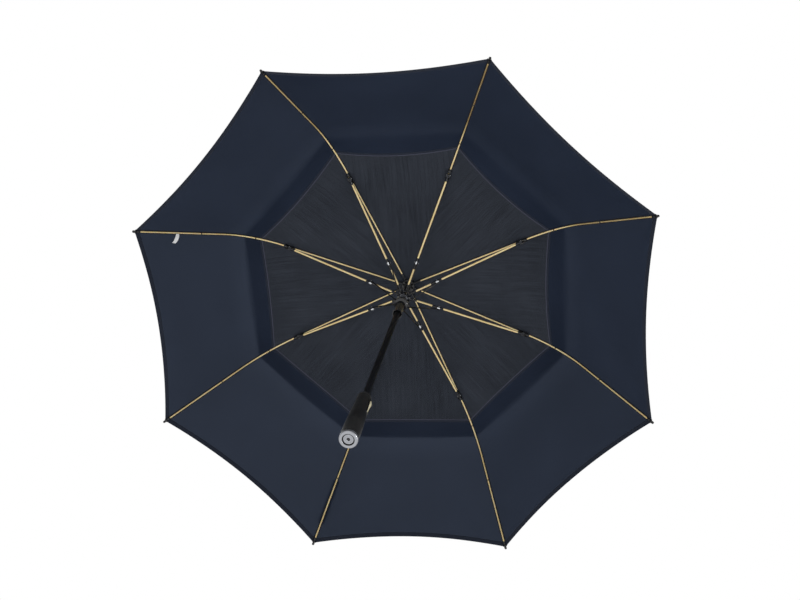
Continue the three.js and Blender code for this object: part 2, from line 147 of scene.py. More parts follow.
def rib_at(x):
    """Height and downward slope of the rib's axis at a distance x from the shaft."""
    if x <= BEND_X:
        return CROWN_PIVOT[1] - (x - CROWN_PIVOT[0]) * math.tan(RIB_SLOPE), RIB_SLOPE
    if x >= BEND_END_X:
        return BEND_END_Z - (x - BEND_END_X) * math.tan(TIP_SLOPE), TIP_SLOPE
    slope = math.asin(math.sin(RIB_SLOPE) + (x - BEND_X) / BEND_R)
    return BEND_Z - BEND_R * (math.cos(RIB_SLOPE) - math.cos(slope)), slope


def rib_point(x, y=0.0, offset=0.0):
    """A point at station x, moved across the spoke and square to the rib."""
    z, slope = rib_at(x)
    return Vector((x + offset * math.sin(slope), y, z + offset * math.cos(slope)))


def rib_directions(x):
    """Unit vectors along the rib and square to it, upwards."""
    _, slope = rib_at(x)
    return Vector((math.cos(slope), 0, -math.sin(slope))), Vector((math.sin(slope), 0, math.cos(slope)))


def rib_length(x):
    """Distance from the crown pivot along the rib."""
    straight = (min(x, BEND_X) - CROWN_PIVOT[0]) / math.cos(RIB_SLOPE)
    if x <= BEND_X:
        return straight
    bent = BEND_R * (rib_at(min(x, BEND_END_X))[1] - RIB_SLOPE)
    return straight + bent + max(0, x - BEND_END_X) / math.cos(TIP_SLOPE)


def spaced(a, b, steps):
    """Evenly spaced numbers from a to b."""
    return [a + (b - a) * i / steps for i in range(steps + 1)]


def around(sides, extra=0):
    """Evenly spaced angles of a full turn. extra repeats the first ones."""
    return [2 * math.pi * i / sides for i in range(sides + extra)]


def circle(radius, sides, x=0.0, z=0.0):
    """A round outline about a point."""
    return [(x + radius * math.cos(a), z + radius * math.sin(a)) for a in around(sides)]


def along_x(*stations):
    """A straight path along x."""
    return [(x, 0, 0) for x in stations]


# ---------- mesh building ----------
SHARP_ANGLE = math.radians(35)


class Mesher:
    """Collects the faces of one piece, in mm, each with its material slot and pattern coordinates."""

    def __init__(self):
        self.points, self.uvs, self.faces, self.slots = [], [], [], []

    def add(self, points, faces, slot=0, uvs=None):
        first = len(self.points)
        self.points += [tuple(p) for p in points]
        self.uvs += list(uvs) if uvs is not None else [(0.0, 0.0)] * len(points)
        self.faces += [tuple(first + i for i in f) for f in faces]
        self.slots += [slot] * len(faces)

    def grid(self, rows, slot=0, uvs=None, wrap=False, flip=False):
        """A sheet through rows of points; wrap joins each row's ends."""
        count = len(rows[0])
        faces = []
        for i in range(len(rows) - 1):
            for j in range(count if wrap else count - 1):
                a, b = i * count + j, i * count + (j + 1) % count
                face = (a, b, b + count, a + count)
                faces.append(face[::-1] if flip else face)
        flat_uvs = [uv for row in uvs for uv in row] if uvs else None
        self.add([p for row in rows for p in row], faces, slot, flat_uvs)

    def shell(self, under, over, slot=0, uvs=None):
        """A thin closed solid between two sheets of the same layout."""
        n, m = len(under), len(under[0])
        at = lambda side, i, j: side * n * m + i * m + j
        faces = []
        for i in range(n - 1):
            for j in range(m - 1):
                faces.append((at(0, i, j), at(0, i, j + 1), at(0, i + 1, j + 1), at(0, i + 1, j)))
                faces.append((at(1, i, j), at(1, i + 1, j), at(1, i + 1, j + 1), at(1, i, j + 1)))
        for i in range(n - 1):
            faces.append((at(0, i, 0), at(0, i + 1, 0), at(1, i + 1, 0), at(1, i, 0)))
            faces.append((at(0, i + 1, m - 1), at(0, i, m - 1), at(1, i, m - 1), at(1, i + 1, m - 1)))
        for j in range(m - 1):
            faces.append((at(0, 0, j + 1), at(0, 0, j), at(1, 0, j), at(1, 0, j + 1)))
            faces.append((at(0, n - 1, j), at(0, n - 1, j + 1), at(1, n - 1, j + 1), at(1, n - 1, j)))
        flat_uvs = [uv for _ in range(2) for row in uvs for uv in row] if uvs else None
        self.add([p for sheet in (under, over) for row in sheet for p in row], faces, slot, flat_uvs)

    def build(self, name, materials, turn=0.0):
        """The finished piece, in metres, turned about Z."""
        mesh = bpy.data.meshes.new(name)
        mesh.from_pydata([tuple(c * MM for c in p) for p in self.points], [], self.faces)
        for material in materials:
            mesh.materials.append(material)
        mesh.polygons.foreach_set("material_index", self.slots)
        mesh.polygons.foreach_set("use_smooth", [True] * len(self.faces))
        layer = mesh.uv_layers.new(name="pattern")
        corners = np.empty(len(mesh.loops), np.int32)
        mesh.loops.foreach_get("vertex_index", corners)
        layer.data.foreach_set("uv", np.array(self.uvs, np.float32)[corners].ravel())
        mesh.transform(Matrix.Rotation(turn, 4, "Z"))
        mesh.validate()
        fix_normals(mesh)
        mesh.set_sharp_from_angle(angle=SHARP_ANGLE)
        piece = bpy.data.objects.new(name, mesh)
        bpy.context.scene.collection.objects.link(piece)
        return piece


def fix_normals(mesh):
    """Merges coincident points and turns every face outwards."""
    work = bmesh.new()
    work.from_mesh(mesh)
    bmesh.ops.remove_doubles(work, verts=work.verts, dist=1e-7)
    bmesh.ops.recalc_face_normals(work, faces=work.faces)
    work.to_mesh(mesh)
    work.free()


def sweep(mesher, path, radius, sides=14, slot=0, flat=1.0, across=Vector((0, 1, 0)), round_ends=True):
    """A rod along a path. radius is a number or one number a point, and flat squeezes it across."""
    path = [Vector(p) for p in path]
    radii = list(radius) if hasattr(radius, "__len__") else [radius] * len(path)
    if round_ends:
        path, radii = rounded_ends(path, radii)
    rows, uvs, travelled = [], [], 0.0
    side = Vector(across)
    for i, p in enumerate(path):
        ahead = (path[min(i + 1, len(path) - 1)] - path[max(i - 1, 0)]).normalized()
        side = (side - ahead * side.dot(ahead)).normalized()
        up = ahead.cross(side)
        r = radii[i]
        travelled += (p - path[i - 1]).length if i else 0.0
        rows.append([p + side * (math.cos(a) * r * flat) + up * (math.sin(a) * r) for a in around(sides)])
        uvs.append([(travelled, r * a) for a in around(sides)])
    mesher.grid(rows, slot, uvs, wrap=True)
    for row, uv, p in ((rows[0], uvs[0], path[0]), (rows[-1], uvs[-1], path[-1])):
        fan = [(j, (j + 1) % sides, sides) for j in range(sides)]
        mesher.add(row + [p], fan, slot, uv + [uv[0]])


def rounded_ends(path, radii, steps=3):
    """Adds a quarter-round to each end of a rod, inside its length."""
    def cap(end, inner, r):
        ahead = (end - inner).normalized()
        turns = spaced(0, math.pi / 2, steps)
        r_cap = min(r, (end - inner).length * 0.45)
        points = [end - ahead * (r_cap * (1 - math.sin(a))) for a in turns]
        return points, [max(r * math.cos(a) ** 0.6, r * 0.12) for a in turns]
    start, start_r = cap(path[0], path[1], radii[0])
    stop, stop_r = cap(path[-1], path[-2], radii[-1])
    return start[::-1] + path[1:-1] + stop, start_r[::-1] + radii[1:-1] + stop_r


def filleted(profile, radius=0.4, steps=3, closed=True):
    """A profile whose corners are rounded, so that its edges catch the light."""
    points = [Vector(p) for p in profile]
    result = []
    for i, corner in enumerate(points):
        if not closed and i in (0, len(points) - 1):
            result.append(corner)
            continue
        before, after = points[i - 1], points[(i + 1) % len(points)]
        to_before, to_after = before - corner, after - corner
        reach = min(radius, to_before.length * 0.45, to_after.length * 0.45)
        start, stop = corner + to_before.normalized() * reach, corner + to_after.normalized() * reach
        for s in range(steps + 1):
            t = s / steps
            result.append(start * (1 - t) ** 2 + corner * 2 * t * (1 - t) + stop * t ** 2)
    return result


def lathe(mesher, profile, segments=72, slot=0, radius=0.4, touches_axis=False):
    """A profile of (radius, height) pairs turned about Z. A profile that touches the axis is open there."""
    outline = filleted(profile, radius, closed=not touches_axis)
    if not touches_axis:
        outline = outline + [outline[0]]
    rows, uvs, travelled = [], [], 0.0
    for i, (r, z) in enumerate(outline):
        travelled += (outline[i] - outline[i - 1]).length if i else 0.0
        rows.append([(r * math.cos(a), r * math.sin(a), z) for a in around(segments)])
        uvs.append([(r * a, travelled) for a in around(segments)])
    mesher.grid(rows, slot, uvs, wrap=True)


def prism(mesher, outline, axis, low, high, slot=0, edge=0.0, steps=3):
    """An outline of 2-D points drawn square to an axis, between two depths, with rounded edges."""
    centre = sum((Vector(p) for p in outline), Vector((0, 0))) / len(outline)
    spreads = [(low, 0.0)]
    if edge:
        spreads = [(low + edge * (1 - math.cos(a)), edge * (1 - math.sin(a)))
                   for a in spaced(0, math.pi / 2, steps)]
    layers = spreads + [(high - (d - low), inset) for d, inset in reversed(spreads)]
    rows = []
    for depth, inset in layers:
        row = []
        for p in outline:
            out = Vector(p) - centre
            q = centre + out * max(0.0, 1 - inset / max(out.length, 1e-6))
            row.append({"x": (depth, q.x, q.y), "y": (q.x, depth, q.y), "z": (q.x, q.y, depth)}[axis])
        rows.append(row)
    mesher.grid(rows, slot, wrap=True)
    mesher.add(rows[0], [tuple(range(len(outline)))], slot)
    mesher.add(rows[-1], [tuple(range(len(outline)))], slot)


def box_outline(x0, x1, y0, y1, corner, steps=4):
    """A rectangle with round corners."""
    centres = [(x1 - corner, y1 - corner, 0), (x0 + corner, y1 - corner, 1),
               (x0 + corner, y0 + corner, 2), (x1 - corner, y0 + corner, 3)]
    return [(cx + corner * math.cos(math.pi / 2 * (q + i / steps)),
             cy + corner * math.sin(math.pi / 2 * (q + i / steps)))
            for cx, cy, q in centres for i in range(steps + 1)]


def teardrop(z0, z1, low_r, high_r, steps=10):
    """An outline in (across, height) with a small round end below and a larger one above."""
    turns = spaced(0, math.pi, steps)
    top = [(high_r * math.cos(a), z1 - high_r + high_r * math.sin(a)) for a in turns]
    bottom = [(-low_r * math.cos(a), z0 + low_r - low_r * math.sin(a)) for a in turns]
    return top + bottom


def moved(mesher, matrix, first=0):
    """Moves the points that were added since the index first."""
    for i in range(first, len(mesher.points)):
        mesher.points[i] = tuple(matrix @ Vector(mesher.points[i]))


def in_spoke(x, z, slope=0.0):
    """The place of what was drawn round the origin: x from the shaft, at height z, tipped down by slope."""
    return Matrix.Translation((x, 0, z)) @ Matrix.Rotation(slope, 4, "Y")


def carve(piece, cutter):
    """Cuts one mesh out of another and deletes the cutter."""
    modifier = piece.modifiers.new("carve", "BOOLEAN")
    modifier.operation = "DIFFERENCE"
    modifier.solver = "EXACT"
    modifier.object = cutter
    graph = bpy.context.evaluated_depsgraph_get()
    mesh = bpy.data.meshes.new_from_object(piece.evaluated_get(graph))
    piece.modifiers.clear()
    piece.data = mesh
    bpy.data.objects.remove(cutter)
    mesh.set_sharp_from_angle(angle=SHARP_ANGLE)


def carve_side(piece, outline, near, far):
    """Cuts an outline of (across, height) out of a piece on the button's side."""
    m = Mesher()
    prism(m, outline, "x", near, far)
    moved(m, Matrix.Rotation(BUTTON_AZIMUTH, 4, "Z"))
    carve(piece, m.build("cutter", [PLASTIC]))


def show(piece, body, slot, *nodes):
    """The piece moves with a body and stands for CAD nodes, which are hidden. slot is not used."""
    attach(piece, body)
    if nodes:
        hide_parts(*nodes)


# ---------- materials ----------
def srgb(r, g, b):
    """A linear colour from 0-255 display values."""
    def linear(c):
        c /= 255
        return c / 12.92 if c <= 0.04045 else ((c + 0.055) / 1.055) ** 2.4
    return linear(r), linear(g), linear(b), 1.0


class Shader:
    """A node material whose steps are added one call at a time."""

    def __init__(self, name):
        self.material = bpy.data.materials.new(name)
        self.material.use_nodes = True
        self.nodes = self.material.node_tree.nodes
        self.links = self.material.node_tree.links
        self.surface = self.nodes["Principled BSDF"]
        self.output = self.nodes["Material Output"]

    def node(self, kind, inputs=None, **settings):
        made = self.nodes.new(kind)
        for key, value in settings.items():
            setattr(made, key, value)
        for key, value in (inputs or {}).items():
            self.put(made.inputs[key], value)
        return made

    def put(self, socket, value):
        if isinstance(value, bpy.types.NodeSocket):
            self.links.new(value, socket)
        else:
            socket.default_value = value

    def set(self, **inputs):
        for key, value in inputs.items():
            self.put(self.surface.inputs[key.replace("_", " ")], value)

    def math(self, operation, a, b=0.0, c=0.0):
        return self.node("ShaderNodeMath", {0: a, 1: b, 2: c}, operation=operation).outputs[0]

    def times(self, a, b):
        return self.math("MULTIPLY", a, b)

    def plus(self, a, b):
        return self.math("ADD", a, b)

    def blend(self, share, first, second):
        """Mixes two colours."""
        made = self.node("ShaderNodeMix", {0: share, 6: first, 7: second}, data_type="RGBA")
        return made.outputs[2]

    def ramp(self, value, low, high, to_low=0.0, to_high=1.0):
        made = self.node("ShaderNodeMapRange", {0: value, 1: low, 2: high, 3: to_low, 4: to_high})
        return made.outputs[0]

    def place(self):
        """Where the point is on its piece, in mm."""
        coordinates = self.node("ShaderNodeTexCoord").outputs["Object"]
        scaled = self.node("ShaderNodeVectorMath", {0: coordinates, "Scale": 1 / MM}, operation="SCALE")
        return scaled.outputs[0]

    def pattern(self, sx=1.0, sy=1.0):
        """The piece's own pattern coordinates, in mm, stretched by sx and sy."""
        uv = self.node("ShaderNodeUVMap", uv_map="pattern").outputs[0]
        return self.node("ShaderNodeVectorMath", {0: uv, 1: (sx, sy, 1.0)}, operation="MULTIPLY").outputs[0]

    def noise(self, vector, scale, detail=3.0, roughness=0.55):
        made = self.node("ShaderNodeTexNoise", {"Vector": vector, "Scale": scale, "Detail": detail,
                                                "Roughness": roughness})
        return made.outputs[0]

    def bump(self, height, distance, strength):
        """Raises the surface by a height pattern, and finishes the material."""
        inputs = {"Height": height, "Distance": distance * MM, "Strength": strength}
        self.set(Normal=self.node("ShaderNodeBump", inputs).outputs[0])
        return self.material


def threads(shader, pitch_u, pitch_v):
    """A plain weave: 1 on top of a thread and 0 between threads."""
    u, v = shader.node("ShaderNodeSeparateXYZ", {0: shader.pattern()}).outputs[:2]
    over_u = shader.math("ABSOLUTE", shader.math("SINE", shader.times(u, math.pi / pitch_u)))
    over_v = shader.math("ABSOLUTE", shader.math("SINE", shader.times(v, math.pi / pitch_v)))
    return shader.math("MAXIMUM", over_u, over_v), over_u, over_v


def canopy_fabric():
    """Navy pongee: a fine plain weave with slubs, a soft sheen and a little light through it."""
    s = Shader("canopy_fabric")
    weave, _, _ = threads(s, 0.55, 0.62)
    slubs = s.noise(s.pattern(0.035, 0.9), 1.0, 4.0, 0.6)
    # Broad patches of lighter and darker colour: partly uneven dye, partly painted shade of soft wrinkles.
    dye_and_wrinkle_shade = s.noise(s.place(), 0.006, 3.0, 0.5)
    tone = s.plus(s.times(slubs, 0.45), s.times(dye_and_wrinkle_shade, 0.9))
    base = s.blend(s.ramp(tone, 0.45, 0.9), srgb(21, 30, 46), srgb(30, 39, 56))
    base = s.blend(s.times(s.ramp(weave, 0.35, 1.0, 1.0, 0.0), 0.35), base, srgb(16, 20, 29))
    s.set(Base_Color=base, Roughness=s.ramp(slubs, 0.3, 0.7, 0.62, 0.78))
    s.set(Specular_IOR_Level=0.12, Sheen_Weight=0.04, Sheen_Roughness=0.45, Sheen_Tint=srgb(120, 135, 165))
    s.bump(s.plus(weave, s.times(slubs, 1.2)), 0.12, 0.55)
    through = s.node("ShaderNodeBsdfTranslucent", {"Color": srgb(93, 97, 104)}).outputs[0]
    both = s.node("ShaderNodeAddShader", {0: s.surface.outputs[0], 1: through}).outputs[0]
    s.links.new(both, s.output.inputs[0])
    return s.material


def binding_fabric():
    """The same cloth folded double, for hems, seams and the strap."""
    s = Shader("binding_fabric")
    weave, _, _ = threads(s, 0.5, 0.6)
    slubs = s.noise(s.pattern(0.08, 1.1), 1.0, 4.0, 0.6)
    base = s.blend(s.ramp(slubs, 0.3, 0.75), srgb(24, 30, 43), srgb(33, 40, 55))
    s.set(Base_Color=base, Roughness=0.7, Specular_IOR_Level=0.2)
    s.set(Sheen_Weight=0.1, Sheen_Roughness=0.5)
    return s.bump(s.plus(weave, slubs), 0.15, 0.6)


def edge_tape():
    """The pale knitted selvedge at the mesh's edge."""
    s = Shader("edge_tape")
    knit = s.noise(s.pattern(1.6, 1.6), 1.0, 3.0, 0.6)
    s.set(Base_Color=s.blend(knit, srgb(52, 54, 68), srgb(84, 86, 102)))
    s.set(Roughness=0.75, Specular_IOR_Level=0.15)
    return s.bump(knit, 0.2, 0.6)


def mesh_fabric():
    """Charcoal vent mesh: knitted cords with small open holes between them."""
    s = Shader("mesh_fabric")
    pitch_u, pitch_v = 1.5, 1.9
    weave, over_u, over_v = threads(s, pitch_u, pitch_v)
    drift = s.noise(s.place(), 0.009, 3.0, 0.5)
    lines = s.noise(s.pattern(0.3, 0.008), 1.0, 4.0, 0.7)
    tone = s.plus(s.times(lines, 1.0), s.times(drift, 0.4))
    base = s.blend(s.ramp(tone, 0.5, 0.95), srgb(33, 37, 45), srgb(59, 64, 74))
    base = s.blend(s.ramp(weave, 0.55, 0.95, 0.55, 0.0), base, srgb(16, 17, 20))
    s.set(Base_Color=base, Roughness=0.8, Specular_IOR_Level=0.18)
    s.set(Sheen_Weight=0.08, Sheen_Roughness=0.5)
    s.bump(weave, 0.25, 0.7)
    hole = s.math("LESS_THAN", s.math("MAXIMUM", over_u, over_v), 0.62)
    clear = s.node("ShaderNodeBsdfTransparent").outputs[0]
    mixed = s.node("ShaderNodeMixShader", {0: hole, 1: s.surface.outputs[0], 2: clear}).outputs[0]
    s.links.new(mixed, s.output.inputs[0])
    return s.material


def thread_material():
    """Twisted sewing thread."""
    s = Shader("sewing_thread")
    twist = s.noise(s.place(), 1.2, 2.0)
    s.set(Base_Color=s.blend(twist, srgb(14, 17, 25), srgb(38, 44, 58)), Roughness=0.55)
    return s.bump(twist, 0.1, 0.5)


def fibreglass():
    """Pale gold pultruded rod: fine fibres run along it, under a smooth resin skin, with painted shade
    darkening its colour towards the edges seen side-on.
    """
    s = Shader("fibreglass")
    fibres = s.noise(s.pattern(0.012, 2.6), 1.0, 4.0, 0.65)
    long_drift = s.noise(s.pattern(0.02, 0.05), 1.0, 2.0)
    tone = s.plus(s.times(fibres, 0.7), s.times(long_drift, 0.5))
    body = s.blend(s.ramp(tone, 0.35, 0.85), srgb(222, 190, 116), srgb(252, 234, 184))
    # Painted shade: the colour turns dark amber where the rod's surface faces away from the view, so each
    # rod is pale in the middle and dark at its edges.
    facing = s.node("ShaderNodeLayerWeight", {"Blend": 0.5}).outputs["Facing"]
    rim = s.ramp(facing, 0.2, 0.62)
    s.set(Base_Color=s.blend(rim, body, srgb(78, 46, 8)))
    s.set(Roughness=s.ramp(fibres, 0.3, 0.7, 0.26, 0.42), Coat_Weight=0.5, Coat_Roughness=0.15)
    s.set(Subsurface_Weight=0.12, Subsurface_Radius=(0.004, 0.002, 0.0008), Subsurface_Scale=0.5)
    return s.bump(fibres, 0.05, 0.5)


def moulded_plastic(name, colour, rough, grain=0.05, coat=0.3):
    """Moulded nylon with a fine spark-eroded grain, flow marks and a few rubbed spots."""
    s = Shader(name)
    fine = s.noise(s.place(), 2.2, 3.0, 0.6)
    flow = s.noise(s.place(), 0.12, 3.0, 0.5)
    rubbed = s.ramp(s.noise(s.place(), 0.35, 5.0, 0.7), 0.62, 0.78)
    light = tuple(min(1.0, c * 2.1 + 0.004) for c in colour[:3]) + (1.0,)
    s.set(Base_Color=s.blend(s.times(s.ramp(flow, 0.35, 0.7), 0.5), colour, light))
    matt = s.ramp(fine, 0.3, 0.7, rough - 0.06, rough + 0.08)
    s.set(Roughness=s.math("SUBTRACT", matt, s.times(rubbed, 0.1)))
    s.set(Specular_IOR_Level=0.4, Coat_Weight=coat, Coat_Roughness=0.1)
    return s.bump(fine, grain, 0.4)


def grip_rubber():
    """Soft-touch rubber with a pebbled grain that hands have polished a little."""
    s = Shader("grip_rubber")
    cells = s.node("ShaderNodeTexVoronoi", {"Vector": s.place(), "Scale": 1.1}).outputs["Distance"]
    dust = s.noise(s.place(), 0.05, 4.0, 0.6)
    polish = s.noise(s.place(), 0.022, 2.0)
    s.set(Base_Color=s.blend(s.ramp(dust, 0.35, 0.75), srgb(12, 12, 13), srgb(24, 24, 24)))
    s.set(Roughness=s.ramp(polish, 0.35, 0.65, 0.34, 0.52), Specular_IOR_Level=0.45)
    return s.bump(cells, 0.12, 0.55)


def shaft_coating():
    """Black powder coat on a drawn tube."""
    s = Shader("shaft_coating")
    peel = s.noise(s.place(), 0.9, 3.0, 0.5)
    drawn = s.noise(s.pattern(1.5, 0.01), 1.0, 3.0)
    s.set(Base_Color=s.blend(drawn, srgb(9, 10, 12), srgb(17, 18, 21)), Specular_IOR_Level=0.3)
    s.set(Roughness=s.ramp(peel, 0.3, 0.7, 0.3, 0.42), Coat_Weight=0.15, Coat_Roughness=0.25)
    return s.bump(peel, 0.04, 0.4)


def spun_silver():
    """Satin plating with turning marks round the axis and light handling scratches."""
    s = Shader("spun_silver")
    x, y, _ = s.node("ShaderNodeSeparateXYZ", {0: s.place()}).outputs
    reach = s.math("SQRT", s.plus(s.times(x, x), s.times(y, y)))
    rings = s.noise(s.node("ShaderNodeCombineXYZ", {0: reach}).outputs[0], 3.2, 3.0, 0.7)
    scratches = s.ramp(s.noise(s.node("ShaderNodeVectorMath", {0: s.place(), 1: (0.2, 3.0, 1.0)},
                                      operation="MULTIPLY").outputs[0], 1.0, 4.0, 0.6), 0.6, 0.72)
    s.set(Base_Color=s.blend(rings, srgb(142, 144, 149), srgb(170, 172, 177)), Metallic=0.92)
    s.set(Roughness=s.plus(s.ramp(rings, 0.3, 0.7, 0.3, 0.42), s.times(scratches, 0.1)))
    return s.bump(rings, 0.05, 0.6)


def bright_steel(name, dark, light, rough):
    """Plated steel for rivets, pins and wire."""
    s = Shader(name)
    tarnish = s.noise(s.place(), 0.8, 4.0, 0.6)
    s.set(Base_Color=s.blend(s.ramp(tarnish, 0.3, 0.75), light, dark), Metallic=0.95)
    s.set(Roughness=s.ramp(tarnish, 0.3, 0.7, rough, rough + 0.15))
    return s.bump(tarnish, 0.04, 0.3)


def pale_gold_button():
    """Smooth pale gold lacquer with a faint metallic shift."""
    s = Shader("pale_gold_button")
    flow = s.noise(s.place(), 0.09, 2.0)
    fine = s.noise(s.place(), 2.0, 2.0)
    s.set(Base_Color=s.blend(flow, srgb(238, 226, 184), srgb(250, 242, 210)), Metallic=0.0)
    s.set(Roughness=s.ramp(fine, 0.3, 0.7, 0.28, 0.38), Coat_Weight=0.4, Coat_Roughness=0.12)
    return s.bump(fine, 0.02, 0.3)


def satin_ribbon():
    """White satin label: fine ribs across, a soft shine, and soft patches of painted fold shade in its
    colour.
    """
    s = Shader("satin_ribbon")
    _, _, over_v = threads(s, 0.3, 0.45)
    # Painted shade: the colour goes lighter and darker in soft patches, standing in for the shading of folds
    # in the ribbon.
    folds = s.noise(s.place(), 0.15, 2.0)
    s.set(Base_Color=s.blend(folds, srgb(226, 227, 230), srgb(246, 246, 246)), Roughness=0.45)
    s.set(Sheen_Weight=0.3, Specular_IOR_Level=0.4)
    return s.bump(over_v, 0.08, 0.5)


CANOPY = canopy_fabric()
BINDING = binding_fabric()
MESH = mesh_fabric()
SELVEDGE = edge_tape()
THREAD = thread_material()
GOLD = fibreglass()
PLASTIC = moulded_plastic("joint_plastic", srgb(12, 12, 14), 0.36)
GLOSS = moulded_plastic("runner_plastic", srgb(10, 11, 13), 0.26, 0.02, 1.0)
RUBBER = grip_rubber()
COATING = shaft_coating()
SILVER = spun_silver()
RIVET = bright_steel("rivet_steel", srgb(150, 152, 156), srgb(214, 216, 220), 0.2)
WIRE = bright_steel("spring_steel", srgb(88, 90, 95), srgb(150, 152, 158), 0.26)
TONGUE = bright_steel("blackened_steel", srgb(28, 29, 32), srgb(66, 68, 74), 0.3)
BUTTON = pale_gold_button()
SATIN = satin_ribbon()


# ---------- canopy ----------
SHARES = spaced(0, 1, 18)
HEM_W = 7.0
VENT_EDGE = VENT_X + 0.4
OUTER_STATIONS = spaced(VENT_EDGE, HEM_X, 38)
HUB_STATIONS = [FABRIC_HOLE, 14, 20, 28, 38, 48] + spaced(HUB_LIFT_X, BEND_X, 20)
HUB_STATIONS += spaced(BEND_X, VENT_X, 10)[1:]
# how a sheet gathers: its slope, the station it is held at, the share of its width that it keeps,
# and how many degrees its left and right halves fold downwards
GATHERED_OUTER = (TIP_SLOPE, HEM_X, 0.15, 21, 16)
GATHERED_UPPER = (RIB_SLOPE, HUB_LIFT_X, 0.22, 8, 2)
GATHERED_MESH = (RIB_SLOPE, HUB_LIFT_X, 0.1, 2, 2)


def rib_body(k):
    """The body of the rib's inner length. The outer length, past the flex, is rib_end_body."""
    return f"rib_{k + 1}"


def rib_end_body(k):
    return f"rib_end_{k + 1}"


def fold_joint(k):
    """The joint that rib k folds about. The first one drives the others."""
    return "fold" if k == 0 else f"rib_{k + 1}_hinge"


def ripple(k, side, x, share):
    """Slack in a panel: soft waves that die out at the ribs. Both halves of a panel agree."""
    panel = k if side > 0 else (k - 1) % SPOKES
    t = share - 1 if side > 0 else 1 - share
    slack = 1 - t * t
    phase = 2.4 * panel
    wave = 0.8 * math.sin(x / 31 + phase + 1.8 * t) + 0.5 * math.sin(x / 17 - 1.7 * phase - 3.1 * t)
    return wave * slack * min(1.0, x / 220)


def tip_folds(x, share):
    """Small folds that fan out from the corner where the fabric is held at the rib's tip."""
    along, across = HEM_X - x, share * x * math.sin(HALF)
    reach = math.hypot(along, across)
    if reach < 1 or reach > 260:
        return 0.0
    fan = math.sin(9 * math.atan2(across, max(along, 1e-3)))
    return 0.9 * fan * min(1.0, reach / 40) * math.exp(-((reach / 110) ** 2)) * min(1.0, across / 12)


def taut(_):
    """The hang of the upper canopy, which is stretched straight between its ribs."""
    return 0.0, 0.0


def loose(x):
    """How far the mesh and the lower canopy curve in and hang down halfway between two ribs."""
    to_hem = max(0.0, (x - VENT_X) / (HEM_X - VENT_X))
    vent = (x / VENT_X) ** 2 if x < VENT_X else (1 - to_hem) ** 2
    return VENT_INSET * vent + HEM_INSET * to_hem, VENT_DROP * vent


def panel_point(k, side, x, share, offset, hang=taut, tips=False):
    """A point on the canopy beside rib k, at station x on the rib. share runs from rib to mid-panel."""
    angle = HALF - math.atan((1 - share) * math.tan(HALF))
    bow = share * (2 - share)
    inward, down = hang(x)
    x = x - inward * bow
    z, slope = rib_at(x)
    lift = HUB_LIFT * max(0.0, 1 - x / HUB_LIFT_X) ** 2
    radius = x * math.cos(HALF) / math.cos(HALF - angle)
    height = z + lift + offset / math.cos(slope) - (SAG * x + down) * bow + ripple(k, side, x, share)
    if tips:
        height += tip_folds(x, share)
    return Vector((radius * math.cos(angle), side * radius * math.sin(angle), height))


def panel_uv(k, side, x, share):
    """Cloth coordinates in mm: across the panel from its middle, and along it from the hub."""
    panel = k if side > 0 else (k - 1) % SPOKES
    t = share - 1 if side > 0 else 1 - share
    return t * x * math.sin(HALF) + 37.0 * panel, rib_length(x) * math.cos(HALF)


def cloth(mesher, k, side, stations, offset, thickness=FABRIC_T, hang=taut, slot=0, tips=False):
    """Adds a stretch of canopy beside rib k, as a thin closed solid."""
    level = offset if callable(offset) else lambda x: offset
    sheets = [[[panel_point(k, side, x, s, level(x) + t, hang, tips) for s in SHARES] for x in stations]
              for t in (0.0, thickness)]
    uvs = [[panel_uv(k, side, x, s) for s in SHARES] for x in stations]
    mesher.shell(sheets[0], sheets[1], slot, uvs)


def stitches(mesher, line, length=2.4, gap=1.3, radius=0.28, slot=1):
    """A row of short stitches along a line of points."""
    line = [Vector(p) for p in line]
    lengths = np.cumsum([0.0] + [(b - a).length for a, b in zip(line, line[1:])])

    def at(d):
        i = int(min(max(np.searchsorted(lengths, d) - 1, 0), len(line) - 2))
        share = (d - lengths[i]) / max(lengths[i + 1] - lengths[i], 1e-6)
        return line[i].lerp(line[i + 1], share)

    start = gap
    while start + length < lengths[-1]:
        a, b = at(start), at(start + length)
        ahead = (b - a).normalized()
        side = ahead.orthogonal().normalized()
        up = ahead.cross(side)
        middle = (a + b) / 2
        ring = [middle + (side * math.cos(q) + up * math.sin(q)) * radius for q in around(4)]
        mesher.add([a, b] + ring, [(0, 2 + j, 2 + (j + 1) % 4) for j in range(4)]
                   + [(1, 2 + (j + 1) % 4, 2 + j) for j in range(4)], slot)
        start += length + gap


def flap_level(x):
    """How far above the rib the upper canopy lies."""
    return UNDER + FLAP_OVER + FLAP_RISE * (x / FLAP_X) ** 2


def turned(k):
    """The turn about Z that takes spoke 1 to spoke k + 1."""
    return Matrix.Rotation(k * STEP, 4, "Z")


def hang_half(m, name, k, side, materials, body, slot, node, how):
    """Builds half a panel, which moves with its rib. It is not made to flatten beside the rib as the
    umbrella closes.
    """
    piece = m.build(f"{name}_{k + 1}_{'left' if side > 0 else 'right'}", materials, k * STEP)
    show(piece, body, slot, node)
    slope, anchor_x, keep, left_tilt, right_tilt = how
    tilt = math.radians(left_tilt if side > 0 else right_tilt)
    outward = Vector((math.sin(slope), 0, math.cos(slope)))
    axis = Vector((0, side * math.cos(tilt), 0)) - outward * math.sin(tilt)
    anchor = turned(k) @ (rib_point(anchor_x, 0, UNDER) * MM)
    fold_joint(k)
    tuple(turned(k) @ axis)
    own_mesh(piece)


def edge_stitches(m, k, side, x, offset, hang=taut, tips=False):
    """A row of stitches from rib to mid-panel."""
    stitches(m, [panel_point(k, side, x, s, offset, hang, tips) for s in SHARES], slot=2)


